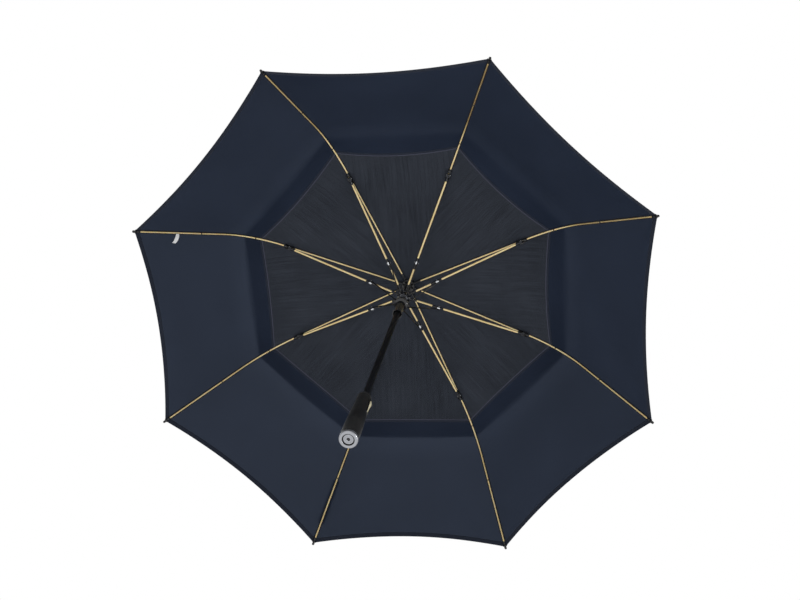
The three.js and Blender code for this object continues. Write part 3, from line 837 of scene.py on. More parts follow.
def lower_half(k, side):
    """Half a panel of the lower canopy, with its hem and the binding at the vent."""
    m = Mesher()
    cloth(m, k, side, OUTER_STATIONS, UNDER, hang=loose, tips=True)
    cloth(m, k, side, spaced(HEM_X - HEM_W, HEM_X + 0.5, 4), UNDER - 0.75, 0.65, loose, 1, True)
    cloth(m, k, side, spaced(VENT_X + 0.6, VENT_X + 5.6, 2), UNDER - 0.6, 0.55, loose, 1)
    for offset in (UNDER - 0.8, UNDER + FABRIC_T):
        edge_stitches(m, k, side, HEM_X - HEM_W + 1.5, offset, loose, True)
    edge_stitches(m, k, side, VENT_X + 2.2, UNDER - 0.65, loose)
    hang_half(m, "lower_canopy", k, side, [CANOPY, BINDING, THREAD], rib_end_body(k),
              "canopy_fabric", "lower_canopy", GATHERED_OUTER)


def flap_half(k, side):
    """Half a panel of the upper canopy's loose edge, which overlaps the lower canopy."""
    m = Mesher()
    cloth(m, k, side, spaced(VENT_EDGE, FLAP_X, 8), flap_level)
    cloth(m, k, side, spaced(FLAP_X - HEM_W, FLAP_X + 0.4, 3), lambda x: flap_level(x) - 0.7, 0.6, slot=1)
    for offset in (-0.75, FABRIC_T):
        edge_stitches(m, k, side, FLAP_X - HEM_W + 1.4, flap_level(FLAP_X) + offset)
    hang_half(m, "upper_canopy_edge", k, side, [CANOPY, BINDING, THREAD], rib_end_body(k),
              "canopy_fabric", "upper_canopy", GATHERED_OUTER)


def upper_half(k, side):
    """Half a panel of the upper canopy from the crown to the vent."""
    m = Mesher()
    cloth(m, k, side, HUB_STATIONS + [VENT_EDGE], flap_level)
    hang_half(m, "upper_canopy", k, side, [CANOPY], rib_body(k),
              "canopy_fabric", "upper_canopy", GATHERED_UPPER)


def mesh_half(k, side):
    """Half a panel of the vent mesh, with the seam that joins it to the lower canopy."""
    m = Mesher()
    cloth(m, k, side, HUB_STATIONS, UNDER, hang=loose)
    cloth(m, k, side, spaced(VENT_X - 2.2, VENT_X - 0.1, 2), UNDER - 0.7, 0.6, loose, 1)
    hang_half(m, "vent_mesh", k, side, [MESH, SELVEDGE], rib_body(k),
              "mesh_fabric", "vent_mesh", GATHERED_MESH)


def over_seam(x, y, level):
    """A point near a seam, at a level over the rib, on the panels' slopes down to either side of it."""
    return rib_point(x, y, level - abs(y) * math.tan(HALF) * math.sin(rib_at(x)[1]))


def seam_strip(m, stations, width, low, high):
    """The folded seam allowance along a rib, arched over it and lying on both panels."""
    ys = [width * s for s in (-1, -0.6, -0.25, 0, 0.25, 0.6, 1)]
    under, over = ([[over_seam(x, y, level(x)) for y in ys] for x in stations] for level in (low, high))
    m.shell(under, over, 0, [[(y, rib_length(x)) for y in ys] for x in stations])


def seam_stitches(m, stations, level):
    """A row of stitches on either side of a seam."""
    for y in (-2.9, 2.9):
        stitches(m, [over_seam(x, y, level(x) + FABRIC_T) for x in stations], slot=1)


def gore_seams(k):
    """The seams along rib k: one on the lower canopy, and two on the upper, split where the rib flexes."""
    outer = Mesher()
    seam_strip(outer, spaced(VENT_X + 1, HEM_X - 4, 40), 4.2, lambda x: UNDER - 0.4, lambda x: UNDER + 0.05)
    seam_strip(outer, spaced(FLAP_X + 2, HEM_X, 34), 1.3,
               lambda x: UNDER + FABRIC_T - 0.2, lambda x: UNDER + FABRIC_T + 0.55)
    seam_stitches(outer, spaced(FLAP_X + 2, HEM_X - 2, 30), lambda x: UNDER)
    piece = outer.build(f"lower_canopy_seam_{k + 1}", [BINDING, THREAD], k * STEP)
    show(piece, rib_end_body(k), "canopy_fabric")
    for part, stations, body in (("edge", spaced(VENT_EDGE, FLAP_X, 8), rib_end_body(k)),
                                 ("hub", spaced(24, VENT_EDGE, 40), rib_body(k))):
        upper = Mesher()
        seam_strip(upper, stations, 1.3, lambda x: flap_level(x) + FABRIC_T - 0.2,
                   lambda x: flap_level(x) + FABRIC_T + 0.5)
        seam_stitches(upper, stations, flap_level)
        piece = upper.build(f"upper_canopy_seam_{part}_{k + 1}", [BINDING, THREAD], k * STEP)
        show(piece, body, "canopy_fabric")


def thread_ties(k):
    """Loops of thread that hold the canopy to the rib, each with a knot and loose ends."""
    m = Mesher()
    for x in TIE_STATIONS:
        ahead, up = rib_directions(x)
        centre = rib_point(x)
        r = RIB_END_R + 0.35
        for turn in range(4):
            loop = []
            for i, a in enumerate(around(24, 1)):
                stretch = 0.75 if math.sin(a) > 0.4 else 0.0
                loop.append(centre + ahead * (0.55 * (turn - 1.5) + 0.5 * i / 24)
                            + Vector((0, 1, 0)) * (r * math.cos(a)) + up * (r * math.sin(a) + stretch))
            sweep(m, loop, 0.3, 6, round_ends=False)
        knot = centre - up * (RIB_END_R + 0.6)
        sweep(m, [knot - ahead * 0.9, knot, knot + ahead * 0.9], [0.5, 0.75, 0.5], 8)
        for y in (-1, 1):
            tail = [knot, knot + Vector((0, 1.6 * y, 0)) - up * 0.8,
                    knot + Vector((0, 3.4 * y, 0)) - up * 1.1 + ahead * 1.2]
            sweep(m, tail, 0.22, 5)
    show(m.build(f"thread_ties_{k + 1}", [THREAD], k * STEP), rib_end_body(k), "canopy_fabric")


# ---------- ribs and stretchers ----------
EYE_R = 3
EYE_Y = 1.5
BLEND = 26
ROOT_FITTING = 38


def rib_rod(k):
    """The fibreglass rod, in one springy length from its root fitting to its tip; the mesh itself is not
    made to bend.
    """
    stations = [ROOT_FITTING - 8] + spaced(ROOT_FITTING, BEND_X, 8) + spaced(BEND_X, BEND_END_X, 40)[1:]
    stations += spaced(BEND_END_X, TIP[0] - 5, 8)[1:]
    radii = [RIB_R + (RIB_END_R - RIB_R) * min(1, max(0, (x - 330) / 60)) for x in stations]
    m = Mesher()
    sweep(m, [rib_point(x) for x in stations], radii, 16)
    piece = m.build(f"rib_rod_{k + 1}", [GOLD], k * STEP)
    start, end = (turned(k) @ (rib_point(FLEX[0] + d) * MM) for d in (-BLEND, BLEND))
    rib_body(k)
    rib_end_body(k)
    tuple(start)
    tuple(end)
    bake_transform(piece)
    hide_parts(f"rib_inner_{k + 1}", f"rib_outer_{k + 1}")


def rib_root(k):
    """The black fitting that hinges the rib in the crown."""
    m = Mesher()
    prism(m, circle(EYE_R, 24), "y", -EYE_Y, EYE_Y, edge=0.3)
    prism(m, box_outline(1.5, 9, -2.1, 2.1, 0.6), "y", -EYE_Y, EYE_Y, edge=0.3)
    length = (ROOT_FITTING - CROWN_PIVOT[0]) / math.cos(RIB_SLOPE)
    sweep(m, along_x(7.5, 9.5, length - 4, length), [2.2, 2.6, 2.6, 2.45], 16)
    sweep(m, along_x(length - 5.4, length - 4.2), 2.8, 16, round_ends=False)
    moved(m, in_spoke(*CROWN_PIVOT, RIB_SLOPE))
    show(m.build(f"rib_root_{k + 1}", [PLASTIC], k * STEP), rib_body(k), "joint_plastic")


def rib_tip(k):
    """The moulded cap on the rib's end, with the bar that the fabric's corner is sewn to."""
    m = Mesher()
    cap = [rib_point(x) for x in (TIP[0] - 8, TIP[0] - 6.5, TIP[0] - 2, TIP[0] + 0.2)]
    sweep(m, cap, [2.7, 2.9, 3.2, 2.7], 18)
    pocket = [rib_point(x, 0, 0.3) for x in (TIP[0] - 13.5, TIP[0] - 11, TIP[0] - 7)]
    sweep(m, pocket, [2.75, 3.1, 3.1], 16)
    bar = [rib_point(TIP[0] - 5.5, y, 2.2 - abs(y) * 0.28) for y in (-5.2, -2.6, 0, 2.6, 5.2)]
    sweep(m, bar, [0.9, 1.2, 1.5, 1.2, 0.9], 10, across=Vector((1, 0, 0)))
    for s in (0.0, 1.1, 2.2):
        wrap = [rib_point(TIP[0] - 10.5 - s, 3.3 * math.cos(a), 0.9 + 3.3 * math.sin(a))
                for a in around(20, 1)]
        sweep(m, wrap, 0.32, 6, slot=1, round_ends=False)
    show(m.build(f"rib_tip_{k + 1}", [PLASTIC, THREAD], k * STEP), rib_end_body(k), "joint_plastic")


def rib_bracket(k):
    """The moulded saddle under the rib: two cheeks that hold the stretcher's pin, and a sleeve.

    It is drawn round the rib's axis over the pin, with x along the rib.
    """
    m = Mesher()
    cheek = [(-13.5, 1.2), (-13.5, -2.2), (-5.5, -9.6), (-2.5, -10.4),
             (2.5, -10.4), (5, -9), (13, -3.6), (13, 1.2)]
    for low, high in ((-4.4, -1.95), (1.95, 4.4)):
        prism(m, [tuple(p) for p in filleted(cheek, 1.4, 4)], "y", low, high, edge=0.5)
    for near, far in ((-15.5, -8.5), (7.5, 15)):
        sweep(m, [(x, 0, -0.35) for x in (near, near + 1, far - 1, far)], [2.8, 3.0, 3.0, 2.8], 20)
    prism(m, box_outline(4.5, 12, -4.5, -2.6, 0.5), "y", -2.4, 2.4, edge=0.3)
    for y in (-4.4, 4.4):
        head = circle(2.1, 20, z=-RIB_OVER_PIN)
        prism(m, head, "y", min(y, y * 1.16), max(y, y * 1.16), slot=1, edge=0.3)
    sweep(m, [(0, -4.3, -RIB_OVER_PIN), (0, 4.3, -RIB_OVER_PIN)], 1.0, 12, slot=1,
          across=Vector((1, 0, 0)), round_ends=False)
    moved(m, in_spoke(BRACKET_PIN[0], rib_at(BRACKET_PIN[0])[0], RIB_SLOPE))
    piece = m.build(f"rib_bracket_{k + 1}_cheeks", [PLASTIC, RIVET], k * STEP)
    show(piece, rib_body(k), "joint_plastic", f"rib_bracket_{k + 1}")


STRETCHER_LENGTH = math.dist(RUNNER_PIVOT, BRACKET_PIN)
STRETCHER_SLOPE = math.atan2(BRACKET_PIN[1] - RUNNER_PIVOT[1], BRACKET_PIN[0] - RUNNER_PIVOT[0])
JOINT_S = math.dist(RUNNER_PIVOT, LINK_JOINT)
BLOCK = (JOINT_S - 18, JOINT_S + 13)
INNER_FITTING = 21


def stretcher(k):
    """Gold inner and outer rods in black fittings, with the riveted joint block between them.

    It is drawn along x from the upper runner's pivot.
    """
    m = Mesher()
    end = STRETCHER_LENGTH
    sweep(m, along_x(INNER_FITTING - 4, INNER_FITTING, BLOCK[0], BLOCK[0] + 4), STRETCHER_R, 16)
    sweep(m, along_x(BLOCK[1] - 4, BLOCK[1], end - 19, end - 16.4), STRETCHER_R, 16)
    for x, way, slot in ((0, 1, 1), (end, -1, 3)):
        prism(m, circle(EYE_R, 24, x), "y", -EYE_Y, EYE_Y, slot=slot, edge=0.4)
        near, far = sorted((x + way * 1.5, x + way * 12))
        prism(m, box_outline(near, far, -2.2, 2.2, 0.5), "y", -EYE_Y, EYE_Y, slot=slot, edge=0.4)
    sweep(m, along_x(8, 10, INNER_FITTING - 2, INNER_FITTING), [2.3, 3, 3, 2.9], 16, slot=1)
    sweep(m, along_x(end - 17, end - 15, end - 10, end - 8.5), [2.85, 2.85, 2.4, 1.6], 16, slot=1)
    middle = along_x(BLOCK[0], BLOCK[0] + 1.5, BLOCK[0] + 8, JOINT_S - 7, JOINT_S - 5,
                     JOINT_S + 5, JOINT_S + 7, BLOCK[1] - 1.5, BLOCK[1])
    sweep(m, middle, [3.2, 3.5, 3.5, 3.6, 4.4, 4.4, 3.6, 3.5, 3.2], 20, slot=1, flat=0.8)
    prism(m, circle(2.6, 24, JOINT_S), "y", -4.3, -3.2, slot=2, edge=0.5)
    clip = filleted([(JOINT_S - 4.4, -4.1), (JOINT_S - 3.2, -4.8), (JOINT_S + 3.2, -4.8),
                     (JOINT_S + 4.4, -4.1), (JOINT_S + 4.4, -3.3), (JOINT_S - 4.4, -3.3)], 0.6, 4)
    prism(m, [tuple(p) for p in clip], "y", -1.8, 1.8, slot=2, edge=0.7)
    moved(m, in_spoke(*RUNNER_PIVOT, -STRETCHER_SLOPE))
    piece = m.build(f"stretcher_rod_{k + 1}", [GOLD, PLASTIC, RIVET, TONGUE], k * STEP)
    show(piece, f"stretcher_{k + 1}", "fibreglass", f"stretcher_{k + 1}")


def link(k):
    """The flat black bar from the stretcher's joint to the lower runner, with a stiffening rib."""
    m = Mesher()
    dx, dz = LINK_JOINT[0] - LINK_FOOT[0], LINK_JOINT[1] - LINK_FOOT[1]
    length, slope = math.hypot(dx, dz), math.atan2(dz, dx)
    turns = spaced(0, math.pi, 12)
    foot = [(-3 * math.sin(a), -3 * math.cos(a)) for a in turns]
    head = [(length + 3.8 * math.sin(a), 3.8 * math.cos(a)) for a in turns]
    bar = foot + [(10, 2), (length - 9, 2)] + head + [(length - 9, -2), (10, -2)]
    prism(m, bar, "y", LINK_Y - 0.75, LINK_Y + 0.75, edge=0.25)
    prism(m, box_outline(12, length - 12, -0.7, 0.7, 0.5), "y", LINK_Y + 0.5, LINK_Y + 1.3, edge=0.25)
    prism(m, circle(2.3, 20, length), "y", LINK_Y + 0.6, LINK_Y + 1.7, slot=1, edge=0.45)
    moved(m, in_spoke(*LINK_FOOT, -slope))
    piece = m.build(f"link_bar_{k + 1}", [PLASTIC, RIVET], k * STEP)
    show(piece, f"link_{k + 1}", "joint_plastic", f"link_{k + 1}")


# ---------- hubs ----------
SHAFT_R = 7
RUNNER_BORE = SHAFT_R + 0.5
COLLAR_R = 10.4
SLOT_ROOT = 10.6


def slot_cutter(y0, y1, z0, z1, reach):
    """Eight radial slots in one mesh."""
    m = Mesher()
    for k in range(SPOKES):
        first = len(m.points)
        prism(m, [(SLOT_ROOT, y0), (reach, y0), (reach, y1), (SLOT_ROOT, y1)], "z", z0, z1)
        moved(m, turned(k), first)
    return m.build("slots", [PLASTIC])


def crown():
    """The hub on top of the shaft that the ribs hinge in, with its ring of wire."""
    low, high = span("crown")
    floor, top, stud_r = CROWN_PIVOT[1] - 5, CROWN_PIVOT[1] + 3.2, 6
    bore, roof = SHAFT_R + 0.3, SHAFT_TOP + 0.3
    m = Mesher()
    lathe(m, [(0, roof), (bore, roof), (bore, low.z), (COLLAR_R, low.z), (COLLAR_R, floor),
              (high.x, floor), (high.x, top), (stud_r, top), (stud_r, high.z), (0, high.z)],
          96, radius=0.7, touches_axis=True)
    piece = m.build("crown_hub", [PLASTIC])
    carve(piece, slot_cutter(-2.5, 2.5, floor - 6, top + 1, high.x + 3))
    show(piece, "root", "joint_plastic", "crown")
    wire = Mesher()
    radius, height = CROWN_PIVOT
    loop = [(radius * math.cos(a), radius * math.sin(a), height) for a in around(96, 1)]
    sweep(wire, loop, 0.8, 10, across=Vector((0, 0, 1)), round_ends=False)
    show(wire.build("crown_ring_wire", [WIRE]), "root", "steel_wire", "crown_wire")


def upper_runner():
    """The slotted hub that the stretchers hinge in."""
    low, high = span("upper_runner")
    floor, top = RUNNER_PIVOT[1] - 7, RUNNER_PIVOT[1] + 6
    tube_r = 8.6
    m = Mesher()
    lathe(m, [(RUNNER_BORE, low.z), (tube_r, low.z), (tube_r, floor), (high.x, floor), (high.x, top),
              (COLLAR_R, top), (COLLAR_R, high.z - 4), (COLLAR_R - 0.8, high.z - 3.2),
              (COLLAR_R - 0.8, high.z), (RUNNER_BORE, high.z)], 96, radius=0.8)
    piece = m.build("upper_runner_hub", [GLOSS])
    carve(piece, slot_cutter(-1.9, LINK_Y + 1.2, floor - 1, top + 1, high.x + 3))
    show(piece, "upper_runner", "joint_plastic", "upper_runner")


def lower_runner():
    """A tube with a cupped rim at its tail and a flared rim round the link pivots."""
    low, high = span("lower_runner")
    tail_r, tube_r, sleeve_r, counterbore = 12.0, 11.0, 9.0, low.z + 28
    flare = LINK_FOOT[1] - 8
    m = Mesher()
    lathe(m, [(RUNNER_BORE, low.z + 3), (tail_r - 1.8, low.z + 0.2), (tail_r, low.z), (tail_r, low.z + 4),
              (tube_r, low.z + 6), (tube_r - 0.4, flare - 20), (tube_r, flare - 4), (high.x - 1.2, flare),
              (high.x, flare + 0.8), (high.x, flare + 3.2), (high.x - 1.3, high.z), (sleeve_r, high.z),
              (sleeve_r, counterbore), (RUNNER_BORE, counterbore)], 96, radius=0.9)
    piece = m.build("lower_runner_hub", [GLOSS])
    carve(piece, slot_cutter(LINK_Y - 1.2, LINK_Y + 1.2, LINK_FOOT[1] - 4, high.z + 9, high.x + 3))
    carve_side(piece, box_outline(-2.6, 2.6, low.z - 8, low.z + 14, 1.2), RUNNER_BORE + 0.2, 20)
    show(piece, "lower_runner", "joint_plastic", "lower_runner")


def opening_spring():
    """The drive spring between the runners. It moves with the upper runner and is not made to close up as
    they meet.
    """
    low, high = span("opening_spring")
    radius, wire, steps = 9.9, 0.7, 6 * 28
    path = []
    for i in range(steps + 1):
        a = 2 * math.pi * i / 28
        z = low.z + wire + (high.z - low.z - 2 * wire) * i / steps
        path.append((radius * math.cos(a), radius * math.sin(a), z))
    m = Mesher()
    sweep(m, path, wire, 10, across=Vector((1, 0, 0)))
    piece = m.build("drive_spring", [WIRE])
    show(piece, "upper_runner", "steel_wire", "opening_spring")
    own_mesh(piece)


def shaft():
    """The tube, with the window that the catch comes out of."""
    low, bore = span("shaft")[0].z, 5.9
    m = Mesher()
    lathe(m, [(bore, low), (SHAFT_R, low), (SHAFT_R, SHAFT_TOP), (bore, SHAFT_TOP)], 64, radius=0.3)
    piece = m.build("shaft_tube", [COATING])
    carve_side(piece, box_outline(-2.1, 2.1, 144, 152, 0.8), 0, 10)
    show(piece, "root", "shaft_black", "shaft")


def top_fittings():
    """The washer that clamps the canopy and the ferrule screwed over it."""
    low, high = span("canopy_washer")
    bore, rim = 6.4, high.x
    m = Mesher()
    lathe(m, [(bore, low.z), (rim, low.z), (rim, low.z + 0.7), (rim - 2, high.z), (bore, high.z)],
          96, radius=0.4)
    show(m.build("canopy_washer_disc", [PLASTIC]), "root", "joint_plastic", "canopy_washer")
    seat, top = span("ferrule")[0].z, span("ferrule")[1].z
    m = Mesher()
    lathe(m, [(0, seat + 3.6), (bore, seat + 3.6), (bore, seat), (10.5, seat), (10.5, seat + 3),
              (10, seat + 3.6), (10, seat + 4.2), (10.5, seat + 4.8), (10.4, seat + 6.6), (8, seat + 10.6),
              (6.6, seat + 18), (6, seat + 27.6), (4.8, top - 7), (4.4, top - 0.6), (3.6, top), (0, top)],
          72, radius=0.6, touches_axis=True)
    show(m.build("ferrule_spike", [PLASTIC]), "root", "joint_plastic", "ferrule")


# ---------- handle ----------
BEYOND_GRIP = 24


def grip_profile(z):
    """Radius of the grip at a height: a smooth swell towards the lower end."""
    heights = [8, 24, 42, 65, 88, 109, 130, 150, 170]
    radii = [17.1, 17.6, 17.9, 17.6, 16.8, 15.9, 15.1, 14.6, 14.4]
    return float(np.interp(z, heights, radii))


def smooth_radius(z):
    """The grip's profile with its corners averaged away."""
    return sum(grip_profile(z + d) for d in (-8, -4, 0, 4, 8)) / 5


def grip():
    """The rubber sleeve, with a groove near its foot and two near its top."""
    low, high = span("grip_sleeve")
    bore = 13.5
    outer = []
    for z in spaced(low.z, high.z, 60):
        grooved = min(abs(z - 14), abs(z - high.z + 5), abs(z - high.z + 8.5)) < 1
        outer.append((smooth_radius(z) - (0.35 if grooved else 0.0), z))
    m = Mesher()
    lathe(m, [(bore, low.z)] + outer + [(bore, high.z)], 128, radius=0.7)
    piece = m.build("grip_sleeve_body", [RUBBER])
    carve_side(piece, teardrop(104, 161, 5.2, 7.4), bore - 2, BEYOND_GRIP)
    show(piece, "root", "grip_rubber", "grip_sleeve")


def handle_core():
    """The tube inside the grip, whose mouth takes in the lower runner, and the bezel round the button."""
    low, high = span("handle_core")
    mouth_r, mouth_z, bore = 12.3, 125, SHAFT_R + 0.3
    m = Mesher()
    lathe(m, [(0, low.z), (13.2, low.z), (13.2, 169.8), (14.6, 169.8), (14.6, high.z - 0.4), (14, high.z),
              (mouth_r, high.z), (mouth_r, mouth_z), (bore, mouth_z), (bore, 29.5), (0, 29.5)],
          96, radius=0.5, touches_axis=True)
    piece = m.build("handle_core_tube", [PLASTIC])
    carve_side(piece, teardrop(106, 159, 3.2, 5.5), mouth_r - 3, BEYOND_GRIP)
    show(piece, "root", "joint_plastic", "handle_core")
    m = Mesher()
    prism(m, teardrop(104.5, 160.5, 4.9, 7.1), "x", 12.9, 16.4, edge=0.9)
    moved(m, Matrix.Rotation(BUTTON_AZIMUTH, 4, "Z"))
    bezel = m.build("button_bezel", [GLOSS])
    carve_side(bezel, teardrop(106.6, 158.4, 2.8, 5.1), 12, BEYOND_GRIP)
    show(bezel, "root", "joint_plastic")


def push_button():
    """A teardrop pad that stands proudest at its upper end, with a domed face and a pusher behind."""
    z0, z1 = 112, 155
    middle = z0 + 2.3 + (z1 - z0 - 6.9) * 0.62
    outline = teardrop(z0, z1, 1.6, 4.5, 16)

    def face(z):
        rise = 15.7 + 2.3 * ((z - z0) / (148 - z0)) ** 1.5
        return rise - 1.8 * max(0.0, (z - 146) / (z1 - 146)) ** 2

    rows = [[(14.6, y, z) for y, z in outline]]
    for scale, drop in ((1, 0.9), (0.97, 0.45), (0.9, 0.18), (0.75, 0.05), (0.5, 0.0), (0.2, 0.0)):
        ring = [(y * scale, middle + (z - middle) * scale) for y, z in outline]
        rows.append([(face(z) - drop, y, z) for y, z in ring])
    m = Mesher()
    m.grid(rows, wrap=True)
    m.add(rows[0], [tuple(range(len(outline)))])
    m.add(rows[-1], [tuple(range(len(outline)))])
    sweep(m, [(9.8, 0, 148), (15.2, 0, 148)], 1.6, 14)
    moved(m, Matrix.Rotation(BUTTON_AZIMUTH, 4, "Z"))
    show(m.build("push_button_pad", [BUTTON]), "button", "button_cream", "push_button")


def end_cap():
    """A silver ring and an inner disc with a hole and a turned groove. Black plastic behind the disc and on
    the wall of the gap round it is painted shade in the hole and the gap.
    """
    r, top = span("end_cap")[1].x, span("end_cap")[1].z
    m = Mesher()
    lathe(m, [(0, 3.5), (11.6, 3.5), (11.6, 0), (r - 1.2, 0), (r, 1.2), (r, top), (0, top)],
          128, radius=0.5, touches_axis=True)
    # Painted shade: a thin black plastic sheet behind the disc, seen through its hole and round its edge,
    # and a black plastic lining on the wall of the gap between disc and ring.
    lathe(m, [(0, 3.2), (11.5, 3.2), (11.5, 3.6), (0, 3.6)], 96, 1, 0.1, touches_axis=True)
    lathe(m, [(11.1, 0.6), (11.7, 0.6), (11.7, 3.5), (11.1, 3.5)], 96, 1, 0.1)
    show(m.build("end_cap_ring", [SILVER, PLASTIC]), "root", "silver_cap", "end_cap")
    m = Mesher()
    lathe(m, [(3.1, 2.2), (3.5, 1.8), (6.0, 1.8), (6.3, 2.1), (6.7, 2.1), (7.0, 1.8), (9.3, 1.8), (9.9, 2.3),
              (9.9, 3.3), (3.1, 3.3)], 128, radius=0.25)
    show(m.build("end_cap_disc", [SILVER]), "root", "silver_cap", "cap_disc")


# ---------- label and strap ----------
def care_label():
    """A folded satin ribbon sewn into the rib's seam, hanging under the panel with a twist."""
    m = Mesher()
    length, width = 23.0, 4.2
    ahead = Vector((math.cos(TIP_SLOPE), 0, -math.sin(TIP_SLOPE)))
    up = Vector((math.sin(TIP_SLOPE), 0, math.cos(TIP_SLOPE)))
    for layer in (0.0, 0.7):
        under, over, uvs = [], [], []
        for i in range(19):
            d = length * i / 18
            x = 572 + 5.5 * (d / length) ** 2
            curl = 2.2 * math.sin(d / 6.5)
            centre = rib_point(x, -1.0 - d * 0.93, -3.4 - layer - 0.33 * d - curl * 0.35)
            twist = 0.35 * math.sin(d / 9)
            across = ahead * math.cos(twist) + up * math.sin(twist)
            row = [centre + across * (width * s) for s in (-1, -0.5, 0, 0.5, 1)]
            under.append(row)
            over.append([p + up * 0.22 for p in row])
            uvs.append([(width * s, d) for s in (-1, -0.5, 0, 0.5, 1)])
        m.shell(under, over, 0, uvs)
    piece = m.build("care_label_ribbon", [SATIN], LABEL_SPOKE * STEP)
    show(piece, rib_end_body(LABEL_SPOKE), "label_white", "care_label")


def closing_strap():
    """The strap that wraps the closed umbrella, lying along a seam on the outside, with its sewn tab."""
    m = Mesher()
    half, ys = 9.0, (-1, -0.8, -0.4, 0, 0.4, 0.8, 1)
    stations = spaced(530, 612, 30)

    def level(x, y, t):
        round_end = max(0.0, (x - 604) / 8)
        narrow = math.sqrt(max(0.05, 1 - round_end ** 2))
        wave = 0.35 * math.sin((x - 530) / 13)
        return rib_point(x, y * half * narrow, 5.2 + t + wave - 0.02 * (y * half) ** 2)

    under = [[level(x, y, 0.0) for y in ys] for x in stations]
    over = [[level(x, y, 1.1) for y in ys] for x in stations]
    uvs = [[(y * half, x) for y in ys] for x in stations]
    m.shell(under, over, 0, uvs)
    for y in (-0.78, 0.78):
        stitches(m, [level(x, y, 1.1) for x in stations[1:-5]], slot=1)
    for x in (534, 552):
        stitches(m, [level(x, y, 1.1) for y in spaced(-0.78, 0.78, 6)], slot=1)
    piece = m.build("closing_strap_band", [BINDING, THREAD], STRAP_SPOKE * STEP)
    show(piece, rib_end_body(STRAP_SPOKE), "canopy_fabric", "closing_strap")


# ---------- stage ----------
def pale_floor():
    """A pale floor that is seen from above only, and that casts no light or shadow of its own."""
    s = Shader("pale_floor")
    s.set(Base_Color=(0.82, 0.82, 0.82, 1.0), Roughness=0.9, Specular_IOR_Level=0.1)
    s.set(Emission_Color=(1.0, 1.0, 1.0, 1.0), Emission_Strength=0.3)
    seen = s.node("ShaderNodeLightPath").outputs["Is Camera Ray"]
    back = s.node("ShaderNodeNewGeometry").outputs["Backfacing"]
    reach = s.node("ShaderNodeVectorMath", {0: s.place()}, operation="LENGTH").outputs["Value"]
    near = s.node("ShaderNodeMapRange", {0: reach, 1: 900.0, 2: 2600.0, 3: 1.0, 4: 0.0},
                  interpolation_type="SMOOTHSTEP").outputs[0]
    shown = s.times(s.times(seen, near), s.math("SUBTRACT", 1.0, back))
    clear = s.node("ShaderNodeBsdfTransparent").outputs[0]
    mixed = s.node("ShaderNodeMixShader", {0: shown, 1: clear, 2: s.surface.outputs[0]}).outputs[0]
    s.links.new(mixed, s.output.inputs[0])
    m = Mesher()
    edge = 60000
    m.add([(-edge, -edge, 0), (edge, -edge, 0), (edge, edge, 0), (-edge, edge, 0)], [(0, 1, 2, 3)])
    floor = m.build("floor", [s.material])
    floor.location.z = -0.3 * MM


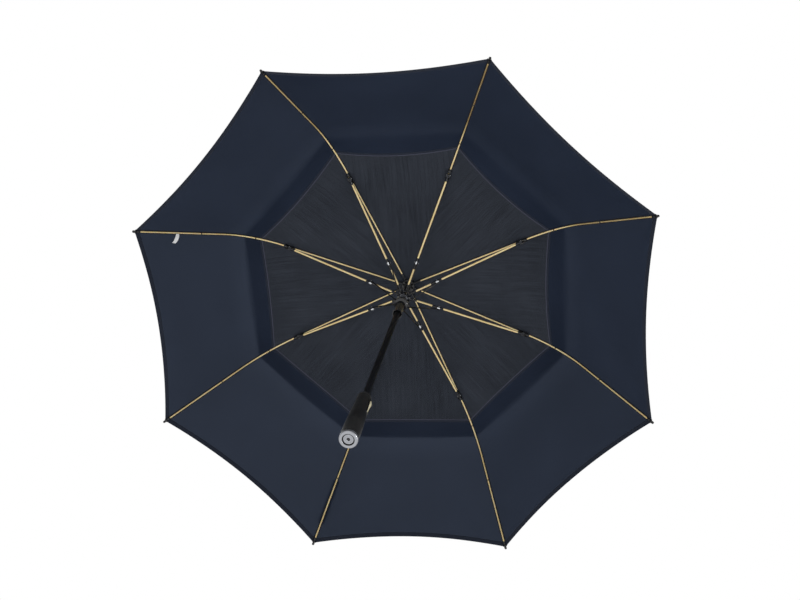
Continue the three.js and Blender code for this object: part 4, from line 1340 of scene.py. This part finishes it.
def studio():
    """A white room to the eye. To the object it is dim, with a broad glow from below and one side."""
    world = bpy.data.worlds.new("studio")
    bpy.context.scene.world = world
    world.use_nodes = True
    nodes, links = world.node_tree.nodes, world.node_tree.links

    def combined(operation, a, b):
        made = nodes.new("ShaderNodeMath")
        made.operation = operation
        for socket, value in zip(made.inputs, (a, b)):
            if isinstance(value, bpy.types.NodeSocket):
                links.new(value, socket)
            else:
                socket.default_value = value
        return made.outputs[0]

    toward = nodes.new("ShaderNodeVectorMath")
    toward.operation = "DOT_PRODUCT"
    toward.inputs[1].default_value = GLOW.normalized()
    links.new(nodes.new("ShaderNodeTexCoord").outputs["Generated"], toward.inputs[0])
    glow = nodes.new("ShaderNodeMapRange")
    glow.interpolation_type = "SMOOTHSTEP"
    links.new(toward.outputs["Value"], glow.inputs[0])
    for socket, value in zip(glow.inputs[1:5], (0.3, 0.95, 0.2, 1.24)):
        socket.default_value = value
    path = nodes.new("ShaderNodeLightPath")
    camera_ray = path.outputs["Is Camera Ray"]
    gleam = combined("MULTIPLY", path.outputs["Is Glossy Ray"], 0.75)
    brighter = combined("MAXIMUM", glow.outputs[0], gleam)
    lit = combined("MULTIPLY", brighter, combined("SUBTRACT", 1.0, camera_ray))
    links.new(combined("ADD", lit, camera_ray), nodes["Background"].inputs["Strength"])
    nodes["Background"].inputs["Color"].default_value = (1, 1, 1, 1)
    soft_light("key", Vector((1.0, -0.7, -1.9)), 0.22, 7)
    soft_light("side", Vector((0.5, 2.0, -0.7)), 0.5, 5)
    soft_light("overhead", Vector((-1.2, 0, 3.2)), 1.6, 70)
    soft_light("overhead_left", Vector((-1.0, -2.2, 2.6)), 1.6, 38)
    soft_light("overhead_right", Vector((-1.0, 2.2, 2.6)), 1.6, 25)


def lamp(name, kind, power, place, target):
    """A lamp at a place, aimed at a target."""
    light = bpy.data.lights.new(name, kind)
    light.energy = power
    body = bpy.data.objects.new(name, light)
    bpy.context.scene.collection.objects.link(body)
    body.location = place
    body.rotation_euler = (target - body.location).to_track_quat("-Z", "Y").to_euler()
    return body


def soft_light(name, place, size, power):
    """A square panel that lights the umbrella and isn't seen itself."""
    panel = lamp(name, "AREA", power, place, Vector((0, 0, 0.65)))
    panel.data.size = size
    panel.visible_camera = False


def handle_spot():
    """A narrow lamp beside the handle, which lights the button's face."""
    spot = lamp("handle_spot", "SPOT", 45, Vector((0.75, 1.5, -0.6)), Vector((0, 0, 0.12)))
    spot.data.spot_size = math.radians(11)
    spot.data.spot_blend = 0.6
    spot.data.shadow_soft_size = 0.06


def camera():
    """Looks up under the open canopy from beyond the handle."""
    place = Vector((0.8379, 0.017, -1.4519))
    forward = Vector((-0.3563, -0.0099, 0.9343)).normalized()
    right = Vector((0.3191, 0.9385, 0.1316)).normalized()
    up = right.cross(forward).normalized()
    data = bpy.data.cameras.new("camera")
    data.sensor_width = 36
    data.lens = 41.87
    eye = bpy.data.objects.new("camera", data)
    bpy.context.scene.collection.objects.link(eye)
    eye.matrix_world = Matrix.Translation(place) @ Matrix((right, up, -forward)).transposed().to_4x4()
    bpy.context.scene.camera = eye


# ---------- assembly ----------
for spoke in range(SPOKES):
    for way in (1, -1):
        for half in (mesh_half, upper_half, flap_half, lower_half):
            half(spoke, way)
    for repeated in (gore_seams, thread_ties, rib_rod, rib_root, rib_tip, rib_bracket, stretcher, link):
        repeated(spoke)

for single in (crown, upper_runner, lower_runner, opening_spring, shaft, top_fittings, grip, handle_core,
               push_button, end_cap, care_label, closing_strap):
    single()

catch = frame["nodes"]["catch_spring"]
catch.data.materials.clear()
catch.data.materials.append(WIRE)

pale_floor()
studio()
handle_spot()
camera()
bpy.context.scene.view_settings.view_transform = "Standard"
